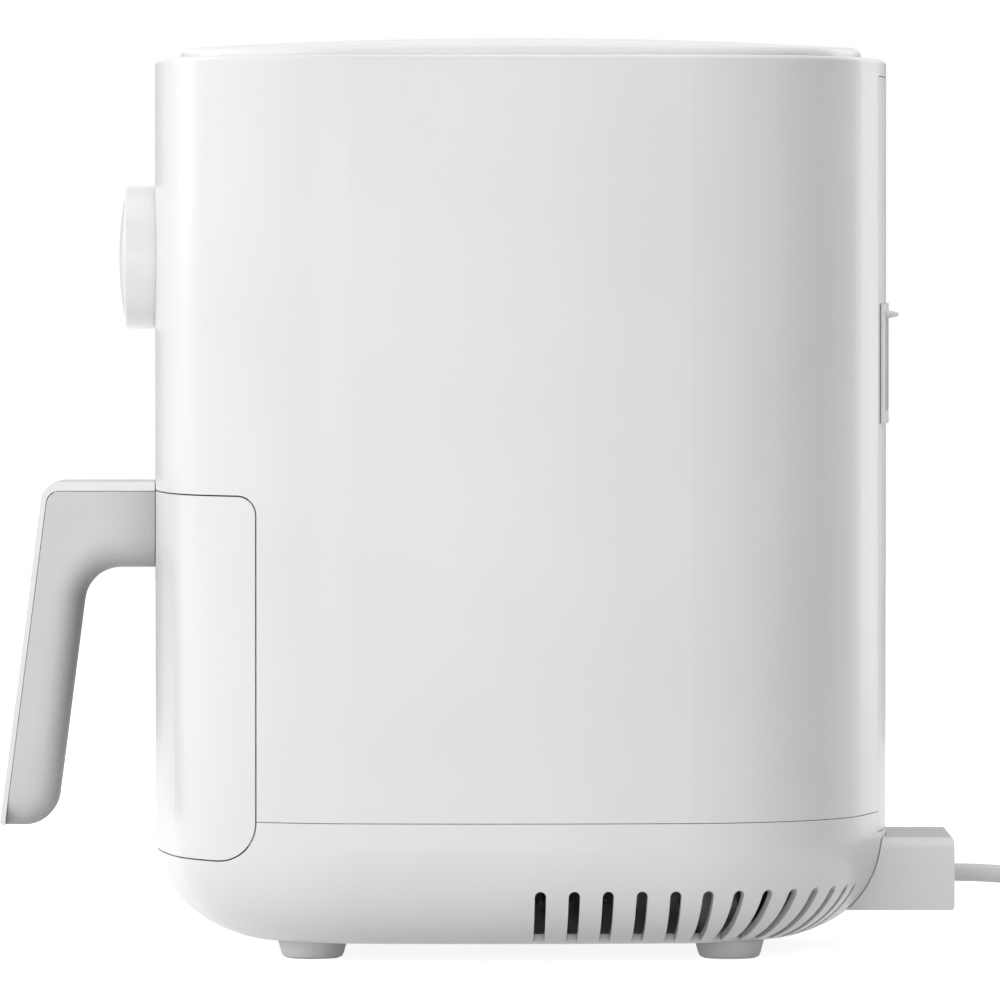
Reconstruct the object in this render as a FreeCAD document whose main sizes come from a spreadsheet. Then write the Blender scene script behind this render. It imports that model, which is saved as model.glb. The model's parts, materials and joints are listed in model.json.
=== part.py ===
import FreeCAD, Part

import math
import os
import re

import Sketcher
from FreeCAD import Placement, Rotation, Vector

# Driving sizes in millimetres. Heights count from the floor, y from the upright body axis.
SIZES = [
    ("body_width", 252.0, "overall width of the body"),
    ("body_depth", 248.0, "depth of the body without handle and cord box"),
    ("rim_height", 300.0, "top of the rim"),
    ("crown_rise", 7.5, "rise of the domed cover above the rim"),
    ("seam_height", 47.5, "seam between base and housing"),
    ("base_height", 6.0, "underside of the base"),
    ("base_round", 33.0, "radius of the bottom edge"),
    ("side_radius", 600.0, "plan radius of the sides"),
    ("side_apex", -10.0, "widest place of the sides"),
    ("front_radius", 320.0, "plan radius of the front"),
    ("rear_radius", 260.0, "plan radius of the rear"),
    ("front_corner", 66.0, "plan radius of the front corners"),
    ("rear_corner", 68.0, "plan radius of the rear corners"),
    ("wall", 2.5, "thickness of moulded walls"),
    ("seam_gap", 0.45, "gap round the drawer front"),
    ("seat_gap", 0.2, "gap between pieces that sit on each other"),
    ("rim_width", 8.0, "width of the top rim"),
    ("rim_depth", 4.0, "thickness of the top rim"),
    ("cover_gap", 0.6, "shadow gap round the domed cover"),
    ("crown_radius", 1850.0, "radius of the dome"),
    ("drawer_low", 34.2, "lower edge of the drawer front"),
    ("drawer_high", 154.5, "upper edge of the drawer front"),
    ("drawer_seam", 36.4, "how far the drawer front wraps back from the front"),
    ("drawer_round_low", 13.0, "lower rear corner radius of the drawer front"),
    ("drawer_round_high", 6.0, "upper rear corner radius of the drawer front"),
    ("drawer_wall", 3.0, "thickness of the drawer front"),
    ("handle_width", 36.0, "width of the handle"),
    ("handle_rise", 3.1, "how far the handle stands above the drawer front"),
    ("handle_low", 41.0, "bottom of the grip"),
    ("arm_depth", 29.1, "depth of the handle arm"),
    ("handle_reach_top", 37.4, "reach of the handle at its top"),
    ("handle_reach_low", 52.4, "reach of the handle at its bottom"),
    ("grip_depth", 18.4, "thickness of the grip"),
    ("strip_top", 3.3, "thickness of the cover strip on top"),
    ("strip_front", 1.9, "thickness of the cover strip in front"),
    ("knob_diameter", 48.3, "diameter of the knob"),
    ("knob_height", 233.4, "height of the knob axis"),
    ("knob_reach", 12.2, "how far the knob stands out"),
    ("knob_dome", 2.2, "rise of the knob face"),
    ("rear_panel_width", 90.0, "width of the rear panel"),
    ("rear_panel_low", 40.7, "lower edge of the rear panel"),
    ("rear_panel_drop", 6.0, "distance of the rear panel's upper edge below the rim"),
    ("grille_width", 82.0, "width of the exhaust grille"),
    ("grille_low", 177.6, "lower edge of the exhaust grille"),
    ("grille_high", 218.0, "upper edge of the exhaust grille"),
    ("grille_proud", 0.9, "how far the grille stands out"),
    ("nub_reach", 3.2, "how far the spacer nubs stand out"),
    ("cord_box_width", 78.0, "width of the cord box"),
    ("cord_box_low", 13.8, "underside of the cord box"),
    ("cord_box_high", 38.0, "top of the cord box"),
    ("cord_box_reach", 22.0, "how far the cord box stands out behind the body"),
    ("cord_height", 24.4, "height of the cord exit"),
    ("cord_diameter", 6.2, "diameter of the cord"),
    ("foot_diameter", 23.2, "diameter of a foot"),
    ("foot_from_side", 56.5, "distance of the feet from the body's sides"),
    ("foot_from_ends", 54.5, "distance of the feet from the body's front and rear"),
    ("slot_width", 3.7, "width of an air slot"),
    ("slot_depth", 23.9, "how far the air slots reach in from the body's outline"),
    ("slot_high", 25.0, "upper end of the air slots"),
    ("slot_first", 6.4, "distance of the first air slot behind the body axis"),
    ("slot_pitch", 11.25, "distance between air slots along the body's outline"),
    ("liner_side", 23.0, "room between the body's side and the chamber"),
    ("liner_rear", 21.0, "room between the body's rear and the chamber"),
    ("liner_front", 34.0, "room between the body's front and the chamber mouth"),
    ("liner_floor", 40.0, "chamber floor"),
    ("liner_roof", 190.0, "chamber roof"),
    ("sheet", 1.2, "thickness of sheet metal"),
    ("pan_gap", 6.0, "room between the pan and the chamber"),
    ("pan_low", 46.0, "underside of the pan"),
    ("pan_high", 140.0, "rim of the pan"),
    ("pan_wall", 1.5, "thickness of the pan"),
    ("tray_height", 58.0, "underside of the tray plate"),
    ("heater_height", 164.0, "middle of the heating element"),
    ("heater_tube", 7.0, "diameter of the heating element"),
    ("heater_gap", 12.0, "distance of its outer ring from the chamber's front wall"),
    ("heater_step", 17.0, "distance between its two rings"),
    ("fan_gap", 7.0, "distance of the convection fan from the inner ring"),
    ("shaft_radius", 2.5, "radius of the motor shaft"),
    ("motor_radius", 30.0, "radius of the motor"),
    ("coil_radius", 45.0, "outer centreline radius of the coiled cord"),
    ("coil_gap", 0.6, "gap between turns and between layers of the coiled cord"),
    ("coil_distance", 258.0, "distance of the coil's middle behind the body axis"),
    ("plug_diameter", 36.0, "diameter of the plug body"),
    ("pin_diameter", 4.8, "diameter of a plug pin"),
    ("pin_spacing", 19.0, "distance between the plug pins"),
    ("pin_length", 19.0, "length of a plug pin"),
]

# Places that follow from the sizes.
PLACES = [
    ("half_w", "body_width / 2"),
    ("half_d", "body_depth / 2"),
    ("axis_y", "(handle_reach_low - cord_box_reach) / 2"),
    ("crown_height", "rim_height + crown_rise"),
    ("rear_panel_high", "rim_height - rear_panel_drop"),
    ("handle_top", "drawer_high + handle_rise"),
    ("arm_low", "handle_top - arm_depth"),
    ("foot_x", "half_w - foot_from_side"),
    ("foot_y", "half_d - foot_from_ends"),
    ("liner_half", "half_w - liner_side"),
    ("liner_back", "half_d - liner_rear"),
    ("liner_mouth", "half_d - liner_front"),
    ("pan_half", "liner_half - pan_gap"),
    ("pan_back", "liner_back - pan_gap"),
    ("pan_front", "liner_mouth - pan_gap"),
    ("heater_outer", "liner_mouth - heater_gap"),
    ("heater_inner", "heater_outer - heater_step"),
    ("fan_radius", "heater_inner - fan_gap"),
    ("shield_r", "min(liner_half; liner_back) - 11"),
    ("board_left", "8 - min(liner_half; liner_back)"),
    ("coil_pitch", "cord_diameter + coil_gap"),
    ("floor_top", "base_height + wall"),
    ("rim_under", "rim_height - rim_depth"),
    ("seam_y", "drawer_seam - half_d"),
    ("box_back", "half_d + cord_box_reach"),
    ("knob_floor", "5 - half_d"),
    ("board_front", "15.1 - half_d"),
    ("plate_back", "2 + liner_mouth"),
    ("plate_front", "plate_back + 2.5"),
    ("liner_out", "liner_half + sheet"),
    ("liner_end", "liner_back + sheet"),
    ("cord_r", "cord_diameter / 2"),
    ("coil_low", "cord_r + 1.6"),
    ("shield_low", "liner_roof + 4"),
    ("bracket_low", "liner_roof + 13"),
    ("motor_low", "bracket_low + 2.3"),
    ("motor_high", "motor_low + 40"),
    ("cooler_low", "motor_high + 5"),
]

doc = FreeCAD.newDocument("air_fryer")
sheet = doc.addObject("Spreadsheet::Sheet", "Sizes")
for row, (alias, amount, meaning) in enumerate(SIZES, start=1):
    sheet.set(f"A{row}", meaning)
    sheet.set(f"B{row}", str(amount))
    sheet.setAlias(f"B{row}", alias)
doc.recompute()
layout = doc.addObject("App::VarSet", "Layout")
probe = doc.addObject("App::VarSet", "Probe")
probe.addProperty("App::PropertyFloat", "amount", "Base", "")

SIZE_NAMES = {alias for alias, _, _ in SIZES}
PLACE_NAMES = {name for name, _ in PLACES}
WORD = re.compile(r"[a-z][a-z_]*[a-z]")
TURN = {"z": Rotation(), "y": Rotation(Vector(1, 0, 0), -90), "x": Rotation(Vector(0, 1, 0), 90)}
NODES = {}


def ref(text):
    """Writes a formula's size and place names with the object that holds them."""

    def full(match):
        word = match.group(0)
        if word in SIZE_NAMES:
            return "Sizes." + word
        if word in PLACE_NAMES:
            return "Layout." + word
        return word

    return WORD.sub(full, str(text))


def bind(thing, prop, text):
    """Ties a property to a formula."""
    thing.setExpression(prop, ref(text))


def value(text):
    """The number a formula gives."""
    probe.setExpression("amount", ref(text))
    probe.recompute()
    return probe.amount


for name, formula in PLACES:
    layout.addProperty("App::PropertyFloat", name, "Base", "")
    bind(layout, name, formula)
doc.recompute()


def box(name, x, y, z):
    """A box between pairs of formulas."""
    made = doc.addObject("Part::Box", name)
    sides = zip(("Length", "Width", "Height"), "xyz", (x, y, z))
    for prop, axis, (low, high) in sides:
        bind(made, prop, f"({high}) - ({low})")
        bind(made, f".Placement.Base.{axis}", low)
    return made


def even(text):
    """The pair that lies evenly about zero."""
    return (f"-({text})", text)


def rod(name, radius, spot, run, axis="z", tip=None):
    """A round bar, or a cone with a tip radius, along an axis: spot holds the other two coordinates."""
    made = doc.addObject("Part::Cylinder" if tip is None else "Part::Cone", name)
    made.Placement = Placement(Vector(), TURN[axis])
    if tip is None:
        bind(made, "Radius", radius)
    else:
        bind(made, "Radius1", radius)
        bind(made, "Radius2", tip)
    low, high = run
    bind(made, "Height", f"({high}) - ({low})")
    others = [letter for letter in "xyz" if letter != axis]
    for letter, text in zip(others, spot):
        bind(made, f".Placement.Base.{letter}", text)
    bind(made, f".Placement.Base.{axis}", low)
    return made


def join(name, *shapes):
    """One solid made of several."""
    made = doc.addObject("Part::MultiFuse", name)
    made.Shapes = list(shapes)
    made.Refine = True
    return made


def group(name, *shapes):
    """Separate solids in one node."""
    made = doc.addObject("Part::Compound", name)
    made.Links = list(shapes)
    return made


def cut(name, base, *tools):
    """A solid less several others."""
    made = doc.addObject("Part::Cut", name)
    made.Base = base
    made.Tool = tools[0] if len(tools) == 1 else join(name + "_tools", *tools)
    made.Refine = True
    return made


def meet(name, *shapes):
    """What several solids share."""
    made = doc.addObject("Part::MultiCommon", name)
    made.Shapes = list(shapes)
    made.Refine = True
    return made


def mirror(name, source, axis):
    """A copy on the other side of a middle plane."""
    made = doc.addObject("Part::Mirroring", name)
    made.Source = source
    made.Normal = Vector(1, 0, 0) if axis == "x" else Vector(0, 1, 0)
    return made


def rounded(name, base, *rules):
    """Rounds the edges that a rule picks: each rule is a test and a radius formula."""
    doc.recompute()
    chosen = []
    for index, edge in enumerate(base.Shape.Edges, start=1):
        for test, radius in rules:
            if test(edge):
                size = value(radius)
                chosen.append((index, size, size))
                break
    made = doc.addObject("Part::Fillet", name)
    made.Base = base
    made.Edges = chosen
    return made


def along(edge, axis):
    """Whether an edge is a straight one along an axis."""
    if not isinstance(edge.Curve, Part.Line):
        return False
    return abs(getattr(edge.Curve.Direction, axis)) > 0.999


def at_height(edge, text):
    """Whether an edge lies level at a height."""
    target = value(text)
    return all(abs(point.z - target) < 1e-4 for point in edge.discretize(5))


def upright(edge):
    return along(edge, "z")


def rounded_box(name, x, y, z, radius, test=upright):
    """A box with rounded upright edges."""
    return rounded(name, box(name + "_block", x, y, z), (test, radius))


def crossing(first, first_r, second, second_r, right, front):
    """Where two circles cross, on the asked side."""
    apart = second - first
    span = apart.Length
    near = (first_r**2 - second_r**2 + span**2) / (2 * span)
    off = math.sqrt(first_r**2 - near**2)
    unit = apart / span
    side = Vector(-unit.y, unit.x, 0)
    for sign in (1, -1):
        point = first + unit * near + side * (sign * off)
        if (point.x > 0) == right and (point.y < 0) == front:
            return point


def plan_arcs(inset):
    """The eight tangent arcs of the body's plan: centre, radius, centre formulas and radius formula."""
    front = Vector(0, value("front_radius - half_d"), 0)
    rear = Vector(0, value("half_d - rear_radius"), 0)
    side_x = value("half_w - side_radius")
    apex = value("side_apex")
    mains = {
        "right": (Vector(side_x, apex, 0), "side_radius", ("half_w - side_radius", "side_apex")),
        "rear": (rear, "rear_radius", ("0", "half_d - rear_radius")),
        "left": (Vector(-side_x, apex, 0), "side_radius", ("side_radius - half_w", "side_apex")),
        "front": (front, "front_radius", ("0", "front_radius - half_d")),
    }
    order = ["right", "rear", "left", "front"]
    arcs = []
    for place, name in enumerate(order):
        centre, radius, spot = mains[name]
        arcs.append((centre, radius, spot))
        following = order[(place + 1) % 4]
        corner = "rear_corner" if "rear" in (name, following) else "front_corner"
        other, other_radius, _ = mains[following]
        middle = crossing(
            centre,
            value(f"{radius} - {corner}"),
            other,
            value(f"{other_radius} - {corner}"),
            "right" in (name, following),
            "front" in (name, following),
        )
        arcs.append((middle, corner, None))
    return [(c, value(f"{r} - ({inset})"), s, f"{r} - ({inset})") for c, r, s in arcs]


def plan(name, inset, low):
    """A sketch of the body's plan, drawn in by an inset, at a height."""
    made = doc.addObject("Sketcher::SketchObject", name)
    arcs = plan_arcs(inset)
    angles = []
    for place, (centre, radius, spot, _) in enumerate(arcs):
        following = arcs[(place + 1) % 8][0]
        toward = (following - centre) if spot else (centre - following)
        angles.append(math.atan2(toward.y, toward.x))
    for place, (centre, radius, _, _) in enumerate(arcs):
        begin = angles[place - 1]
        end = angles[place]
        while end < begin:
            end += 2 * math.pi
        circle = Part.Circle(centre, Vector(0, 0, 1), radius)
        made.addGeometry(Part.ArcOfCircle(circle, begin, end), False)
    constrain(made, [("Tangent", (place, 2, (place + 1) % 8, 1)) for place in range(8)])
    for place, (centre, radius, spot, formula) in enumerate(arcs):
        held(made, "Radius", (place,), formula)
        if spot:
            pinned(made, place, 3, spot)
    bind(made, ".Placement.Base.z", low)
    return made


def constrain(sketch, rules):
    for kind, places in rules:
        sketch.addConstraint(Sketcher.Constraint(kind, *places))


def held(sketch, kind, places, formula):
    """A size rule tied to a formula."""
    index = sketch.addConstraint(Sketcher.Constraint(kind, *places, value(formula)))
    bind(sketch, f"Constraints[{index}]", formula)


def pinned(sketch, geometry, point, spot):
    """Holds a point of a sketch at two formulas."""
    for kind, line, text in (("DistanceX", -2, spot[0]), ("DistanceY", -1, spot[1])):
        if text == "0":
            sketch.addConstraint(Sketcher.Constraint("PointOnObject", geometry, point, line))
        else:
            held(sketch, kind, (-1, 1, geometry, point), text)


def outline(sketch, corners):
    """A closed outline of straight lines through corners given as pairs of formulas."""
    points = [Vector(value(x), value(y), 0) for x, y in corners]
    count = len(points)
    for place in range(count):
        sketch.addGeometry(Part.LineSegment(points[place], points[(place + 1) % count]), False)
    for place in range(count):
        constrain(sketch, [("Coincident", (place, 2, (place + 1) % count, 1))])
    for place, corner in enumerate(corners):
        pinned(sketch, place, 1, corner)


def prism(name, sketch, run, axis="z"):
    """A sketch pushed straight along an axis."""
    made = doc.addObject("Part::Extrusion", name)
    made.Base = sketch
    made.DirMode = "Custom"
    made.Dir = Vector(*(1 if letter == axis else 0 for letter in "xyz"))
    made.Solid = True
    bind(made, "LengthFwd", run)
    return made


def drum(name, inset, low, high):
    """An upright prism of the body's plan."""
    return prism(name, plan(name + "_plan", inset, low), f"({high}) - ({low})")


def side_profile(name, corners, width):
    """A side view pushed out to both sides of the middle plane."""
    sketch = doc.addObject("Sketcher::SketchObject", name + "_view")
    outline(sketch, corners)
    sketch.Placement = Placement(Vector(), Rotation(Vector(1, 1, 1), 120))
    made = prism(name, sketch, width, "x")
    made.Symmetric = True
    return made


def turned(name, corners, role="XZ_Plane"):
    """A turned piece: corners are pairs of radius and distance along the axis."""
    made = doc.addObject("PartDesign::Body", name)
    sketch = drawn(made, name + "_half", role, "0", corners)
    turn = made.newObject("PartDesign::Revolution", name + "_turn")
    turn.Profile = sketch
    turn.ReferenceAxis = (sketch, ["V_Axis"])
    turn.Angle = 360
    sketch.Visibility = False
    return made


def drawn(body, name, role, offset, corners):
    """A sketch with an outline on one of a body's own planes."""
    sketch = body.newObject("Sketcher::SketchObject", name)
    plane = next(item for item in body.Origin.OriginFeatures if item.Role == role)
    sketch.AttachmentSupport = [(plane, "")]
    sketch.MapMode = "FlatFace"
    bind(sketch, ".AttachmentOffset.Base.z", offset)
    if corners:
        outline(sketch, corners)
    return sketch


def padded(body, name, sketch, length):
    made = body.newObject("PartDesign::Pad", name)
    made.Profile = sketch
    bind(made, "Length", length)
    return made


def screws(name, spots, head, shank, axis="z"):
    """Identical screws: head and shank are pairs of radius and run."""
    made = []
    for place, spot in enumerate(spots):
        top = rod(f"{name}_head{place}", head[0], spot, head[1], axis)
        stem = rod(f"{name}_stem{place}", shank[0], spot, shank[1], axis)
        made.append(join(f"{name}_one{place}", top, stem))
    return group(name, *made)


def four(x, y):
    """Four spots that mirror each other."""
    return [(f"{a}({x})", f"{b}({y})") for a in ("", "-") for b in ("", "-")]


def node(name, thing):
    """Names a finished piece and moves it from the body axis to the shared frame."""
    thing.Label = name
    bind(thing, ".Placement.Base.y", "axis_y")
    NODES[name] = thing
    return thing


def bare(name, *things):
    """A node made of plain solids."""
    return node(name, group(name, *things))


# Envelopes of the body
def envelope(name, inset, low, high):
    """The body's outer form, drawn in by an inset, with its rounded bottom edge."""
    straight = drum(name + "_straight", inset, low, high)
    return rounded(name, straight, (lambda edge: at_height(edge, low), f"base_round - ({inset})"))


body_form = envelope("body_form", "0", "base_height", "rim_height")
body_skin = envelope("body_skin", "-seat_gap", "base_height - seat_gap", "rim_height")
base_void = envelope("base_void", "wall", "floor_top", "seam_height + 20")
drawer_void = envelope("drawer_void", "drawer_wall", "base_height + drawer_wall", "rim_height")
housing_void = drum("housing_void", "wall", "base_height", "rim_under")
rim_hole = drum("rim_hole", "rim_width", "rim_under - 20", "rim_height + 5")


def drawer_window(name, gap):
    """The region of the drawer front in side view."""
    block = box(
        name + "_block",
        even("body_width"),
        ("-body_depth", f"seam_y + {gap}"),
        (f"drawer_low - {gap}", f"drawer_high + {gap}"),
    )
    doc.recompute()
    back = value(f"seam_y + {gap}")
    middle = value("(drawer_low + drawer_high) / 2")

    def rear_low(edge):
        spot = edge.CenterOfMass
        return along(edge, "x") and abs(spot.y - back) < 1e-4 and spot.z < middle

    def rear_high(edge):
        spot = edge.CenterOfMass
        return along(edge, "x") and abs(spot.y - back) < 1e-4 and spot.z > middle

    return rounded(
        name, block, (rear_low, f"drawer_round_low + {gap}"), (rear_high, f"drawer_round_high + {gap}")
    )


drawer_region = drawer_window("drawer_region", "0")
drawer_hole = drawer_window("drawer_hole", "seam_gap")

# Outer housing
ALL_X = even("body_width")
ALL_Y = even("body_depth")
KNOB = ("0", "knob_height")
upper = meet("upper", body_form, box("upper_zone", ALL_X, ALL_Y, ("seam_height + 0.1", "crown_height")))
upper_shell = cut("upper_shell", upper, housing_void, rim_hole)
knob_boss = rod("knob_boss", "knob_diameter / 2 + 4", KNOB, ("2 - half_d", "knob_floor + wall"), "y")
BOARD_SPOTS = [(x, z) for x in ("-38", "38") for z in ("knob_height - 22", "knob_height + 22")]
board_posts = [
    rod(f"board_post{k}", "3.5", spot, ("3.5 - half_d", "board_front - seat_gap"), "y")
    for k, spot in enumerate(BOARD_SPOTS)
]
upper_full = join("upper_full", upper_shell, knob_boss, *board_posts)
knob_recess = rod("knob_recess", "knob_diameter / 2 + 0.6", KNOB, ("-body_depth", "knob_floor"), "y")
shaft_hole = rod("shaft_hole", "3.6", KNOB, ("-body_depth", "0"), "y")
rear_hole = box(
    "rear_hole",
    even("rear_panel_width / 2 + 0.3"),
    ("half_d - 20", "body_depth"),
    ("rear_panel_low - 0.3", "rear_panel_high + 0.3"),
)
housing_cut = cut("housing_cut", upper_full, drawer_hole, knob_recess, shaft_hole, rear_hole)


def rim_edge(edge):
    middle = edge.CenterOfMass
    reach = max(abs(point.y) for point in edge.discretize(3))
    side = max(abs(point.x) for point in edge.discretize(3))
    outer = reach > value("half_d - 6") or side > value("half_w - 6") or middle.Length > 1e6
    corner = math.hypot(middle.x, middle.y) > value("half_d - 4")
    return at_height(edge, "rim_height") and (outer or corner)


node("outer_housing", rounded("outer_housing", housing_cut, (rim_edge, "1.6")))

# Top cover
def dome_ball(name, radius):
    """A large ball with its poles level, so the dome is cut from its smooth side."""
    made = doc.addObject("Part::Sphere", name)
    made.Placement = Placement(Vector(), TURN["y"])
    bind(made, "Radius", radius)
    bind(made, ".Placement.Base.z", "crown_height - crown_radius")
    return made


ball = dome_ball("dome_ball", "crown_radius")
ball_inner = dome_ball("dome_ball_inner", "crown_radius - wall")
lid_drum = drum("lid_drum", "rim_width + cover_gap", "rim_under - 2.5", "crown_height + 2")
lid_block = meet("lid_block", lid_drum, ball)
lid_inner = drum("lid_inner", "rim_width + cover_gap + wall", "rim_under - 6", "crown_height + 2")
lid_void = meet("lid_void", lid_inner, ball_inner)


def lid_edge(edge):
    return all(point.z > value("rim_height + 1") for point in edge.discretize(4))


lid_round = rounded("lid_round", lid_block, (lid_edge, "2.4"))
lid_flange = drum("lid_flange", "5", "rim_under - 2.5", "rim_under - 0.3")
node("top_cover", cut("top_cover", join("lid_full", lid_round, lid_flange), lid_void))

# Base cover with its air slots
lower = meet("lower", body_form, box("lower_zone", ALL_X, ALL_Y, ("0", "seam_height - 0.1")))
lower_shell = cut("lower_shell", lower, base_void)
lip_outer = drum("lip_outer", "wall + seat_gap", "seam_height - 6", "seam_height + 4")
lip_root = drum("lip_root", "wall - 0.5", "seam_height - 8", "seam_height - 2")
lip_inner = drum("lip_inner", "wall + 1.7", "seam_height - 9", "seam_height + 5")
lip_gap = box("lip_gap", even("rear_panel_width / 2 + 7"), ("0", "body_depth"), ("20", "seam_height + 6"))
lip = cut("lip", join("lip_full", lip_outer, lip_root), lip_inner, lip_gap)
SCREW_SPOTS = four("liner_half - 18", "liner_mouth - 30")
BOARD_FEET = [(x, y) for x in ("board_left + 5", "board_left + 55") for y in ("-30", "30")]
base_posts = [
    rod(f"base_post{k}", "5", spot, ("base_height + 1", "liner_floor - sheet - seat_gap"))
    for k, spot in enumerate(SCREW_SPOTS)
]
board_feet = [
    rod(f"board_foot{k}", "3", spot, ("base_height + 1", "floor_top + 3"))
    for k, spot in enumerate(BOARD_FEET)
]
lower_full = join("lower_full", lower_shell, lip, *base_posts, *board_feet)
head_holes = [rod(f"head_hole{k}", "4.5", spot, ("0", "12")) for k, spot in enumerate(SCREW_SPOTS)]
stem_holes = [rod(f"stem_hole{k}", "2.15", spot, ("0", "60")) for k, spot in enumerate(SCREW_SPOTS)]
FEET = four("foot_x", "foot_y")
foot_holes = [rod(f"foot_hole{k}", "3.2", spot, ("0", "20")) for k, spot in enumerate(FEET)]
cord_hole = rod("cord_hole", "cord_r + 0.7", ("0", "cord_height"), ("half_d - 40", "body_depth"), "y")
CORD_SCREWS = [(x, "28") for x in ("-28", "28")]
cord_screw_holes = [
    rod(f"cord_screw_hole{k}", "1.7", spot, ("half_d - 40", "body_depth"), "y")
    for k, spot in enumerate(CORD_SCREWS)
]
SLOT_COUNT = 13


def heading(way):
    """The plan angle of a direction."""
    return math.atan2(way.y, way.x)


def slot_spots():
    """Arc centre, arc radius and angle of each air slot, evenly spaced along the outline to the rear."""
    side, corner, rear = plan_arcs("0")[:3]
    ends = [heading(corner[0] - side[0]), heading(corner[0] - rear[0]), math.pi / 2]
    turn = math.asin((value("slot_first") - side[0].y) / side[1])
    ahead = 0.0
    spots = []
    for (centre, radius, _, _), end in zip((side, corner, rear), ends):
        while turn + ahead / radius < end and len(spots) < SLOT_COUNT:
            turn += ahead / radius
            spots.append((centre, radius, turn))
            ahead = value("slot_pitch")
        ahead -= (end - turn) * radius
        turn = end
    return spots


def slot_cutter(centre, radius, turn):
    """One upright air slot with a round top, square to the body's outline."""
    half = value("slot_width / 2")
    depth = value("slot_depth")
    reach = value("slot_depth + wall")
    rise = value("slot_high") - half
    block = Part.makeBox(reach, 2 * half, rise, Vector(radius - depth, -half, 0))
    arch = Part.makeCylinder(half, reach, Vector(radius - depth, 0, rise), Vector(1, 0, 0))
    made = block.fuse(arch)
    made.rotate(Vector(), Vector(0, 0, 1), math.degrees(turn))
    made.translate(centre)
    return made


slots = doc.addObject("Part::Feature", "slots")
slots.Shape = Part.makeCompound([slot_cutter(*spot) for spot in slot_spots()])
slots_left = mirror("slots_left", slots, "x")
lower_drilled = cut(
    "lower_drilled",
    lower_full,
    *head_holes,
    *stem_holes,
    *foot_holes,
    cord_hole,
    *cord_screw_holes,
)
node("base_cover", cut("base_cover", lower_drilled, drawer_hole, rear_hole, slots, slots_left))
node(
    "base_screws",
    screws("base_screws", SCREW_SPOTS, ("4", ("9.2", "12")), ("2", ("12", "liner_floor + 2"))),
)

# Feet
foot = turned(
    "foot",
    [
        ("0", "0"),
        ("foot_diameter / 2 - 3", "0"),
        ("foot_diameter / 2 - 1.7", "0.6"),
        ("foot_diameter / 2 - 1.1", "1.9"),
        ("foot_diameter / 2", "base_height"),
        ("3", "base_height"),
        ("3", "floor_top + 2"),
        ("0", "floor_top + 2"),
    ],
)
bind(foot, ".Placement.Base.x", "foot_x")
bind(foot, ".Placement.Base.y", "foot_y")
foot_across = mirror("foot_across", foot, "x")
feet_front = [mirror("foot_ahead", foot, "y"), mirror("foot_ahead_across", foot_across, "y")]
bare("feet", foot, foot_across, *feet_front)

# Rear panel and exhaust grille
panel_outer = drum("panel_outer", "0", "rear_panel_low", "rear_panel_high")
panel_step = drum("panel_step", "wall + seat_gap", "rear_panel_low + 3", "rear_panel_high + 1.6")
panel_void = drum("panel_void", "wall + 2.2", "base_height", "rim_height")
PANEL_Y = ("half_d - 20", "body_depth")
TALL = ("0", "crown_height")
panel_face = meet("panel_face", panel_outer, box("panel_zone", even("rear_panel_width / 2"), PANEL_Y, TALL))
panel_rim_zone = box("panel_rim_zone", even("rear_panel_width / 2 + 5"), PANEL_Y, TALL)
panel_rim = meet("panel_rim", panel_step, panel_rim_zone)
vent_hole = box(
    "vent_hole", even("grille_width / 2 - 3"), PANEL_Y, ("grille_low + 1", "grille_high - 1")
)
node("rear_panel", cut("rear_panel", join("panel_full", panel_face, panel_rim), panel_void, vent_hole))
grille_outer = drum("grille_outer", "-grille_proud", "grille_low", "grille_high")
grille_behind = drum("grille_behind", "-seat_gap", "base_height", "rim_height")
grille_inner = drum("grille_inner", "3.5", "base_height", "rim_height")
grille_lip = cut(
    "grille_lip",
    meet("grille_lip_block", grille_outer, box("grille_lip_zone", even("grille_width / 2"), PANEL_Y, TALL)),
    grille_behind,
)
grille_plug_zone = box(
    "grille_plug_zone", even("grille_width / 2 - 3.3"), PANEL_Y, ("grille_low + 1.3", "grille_high - 1.3")
)
grille_plug = cut("grille_plug", meet("grille_plug_block", grille_outer, grille_plug_zone), grille_inner)
GRILLE_GAPS = 11
grille_gaps = []
for place in range(GRILLE_GAPS):
    pitch = f"(grille_width - 14) / {GRILLE_GAPS}"
    start = f"7 - grille_width / 2 + {place} * {pitch}"
    sides = (f"{start} + 1.2", f"{start} + {pitch} - 1.2")
    grille_gaps.append(box(f"grille_gap{place}", sides, PANEL_Y, ("grille_low + 4.5", "grille_high - 4.5")))
nubs = [
    rod(
        f"nub{k}",
        "1.6",
        (x, "grille_high - 3.7"),
        ("half_d - 1.2", "half_d + nub_reach"),
        "y",
        "0.65",
    )
    for k, x in enumerate(("-30", "30"))
]
grille_bars = cut("grille_bars", join("grille_full", grille_lip, grille_plug), *grille_gaps)
node("exhaust_grille", join("exhaust_grille", grille_bars, *nubs))

# Cord box
cord_block = box(
    "cord_block", even("cord_box_width / 2"), ("half_d - 40", "box_back"), ("cord_box_low", "cord_box_high")
)


def box_shoulder(edge):
    return along(edge, "y") and edge.CenterOfMass.z > value("cord_box_high - 1")


def box_edge(edge):
    return along(edge, "x") and edge.CenterOfMass.y > value("box_back - 1")


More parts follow.
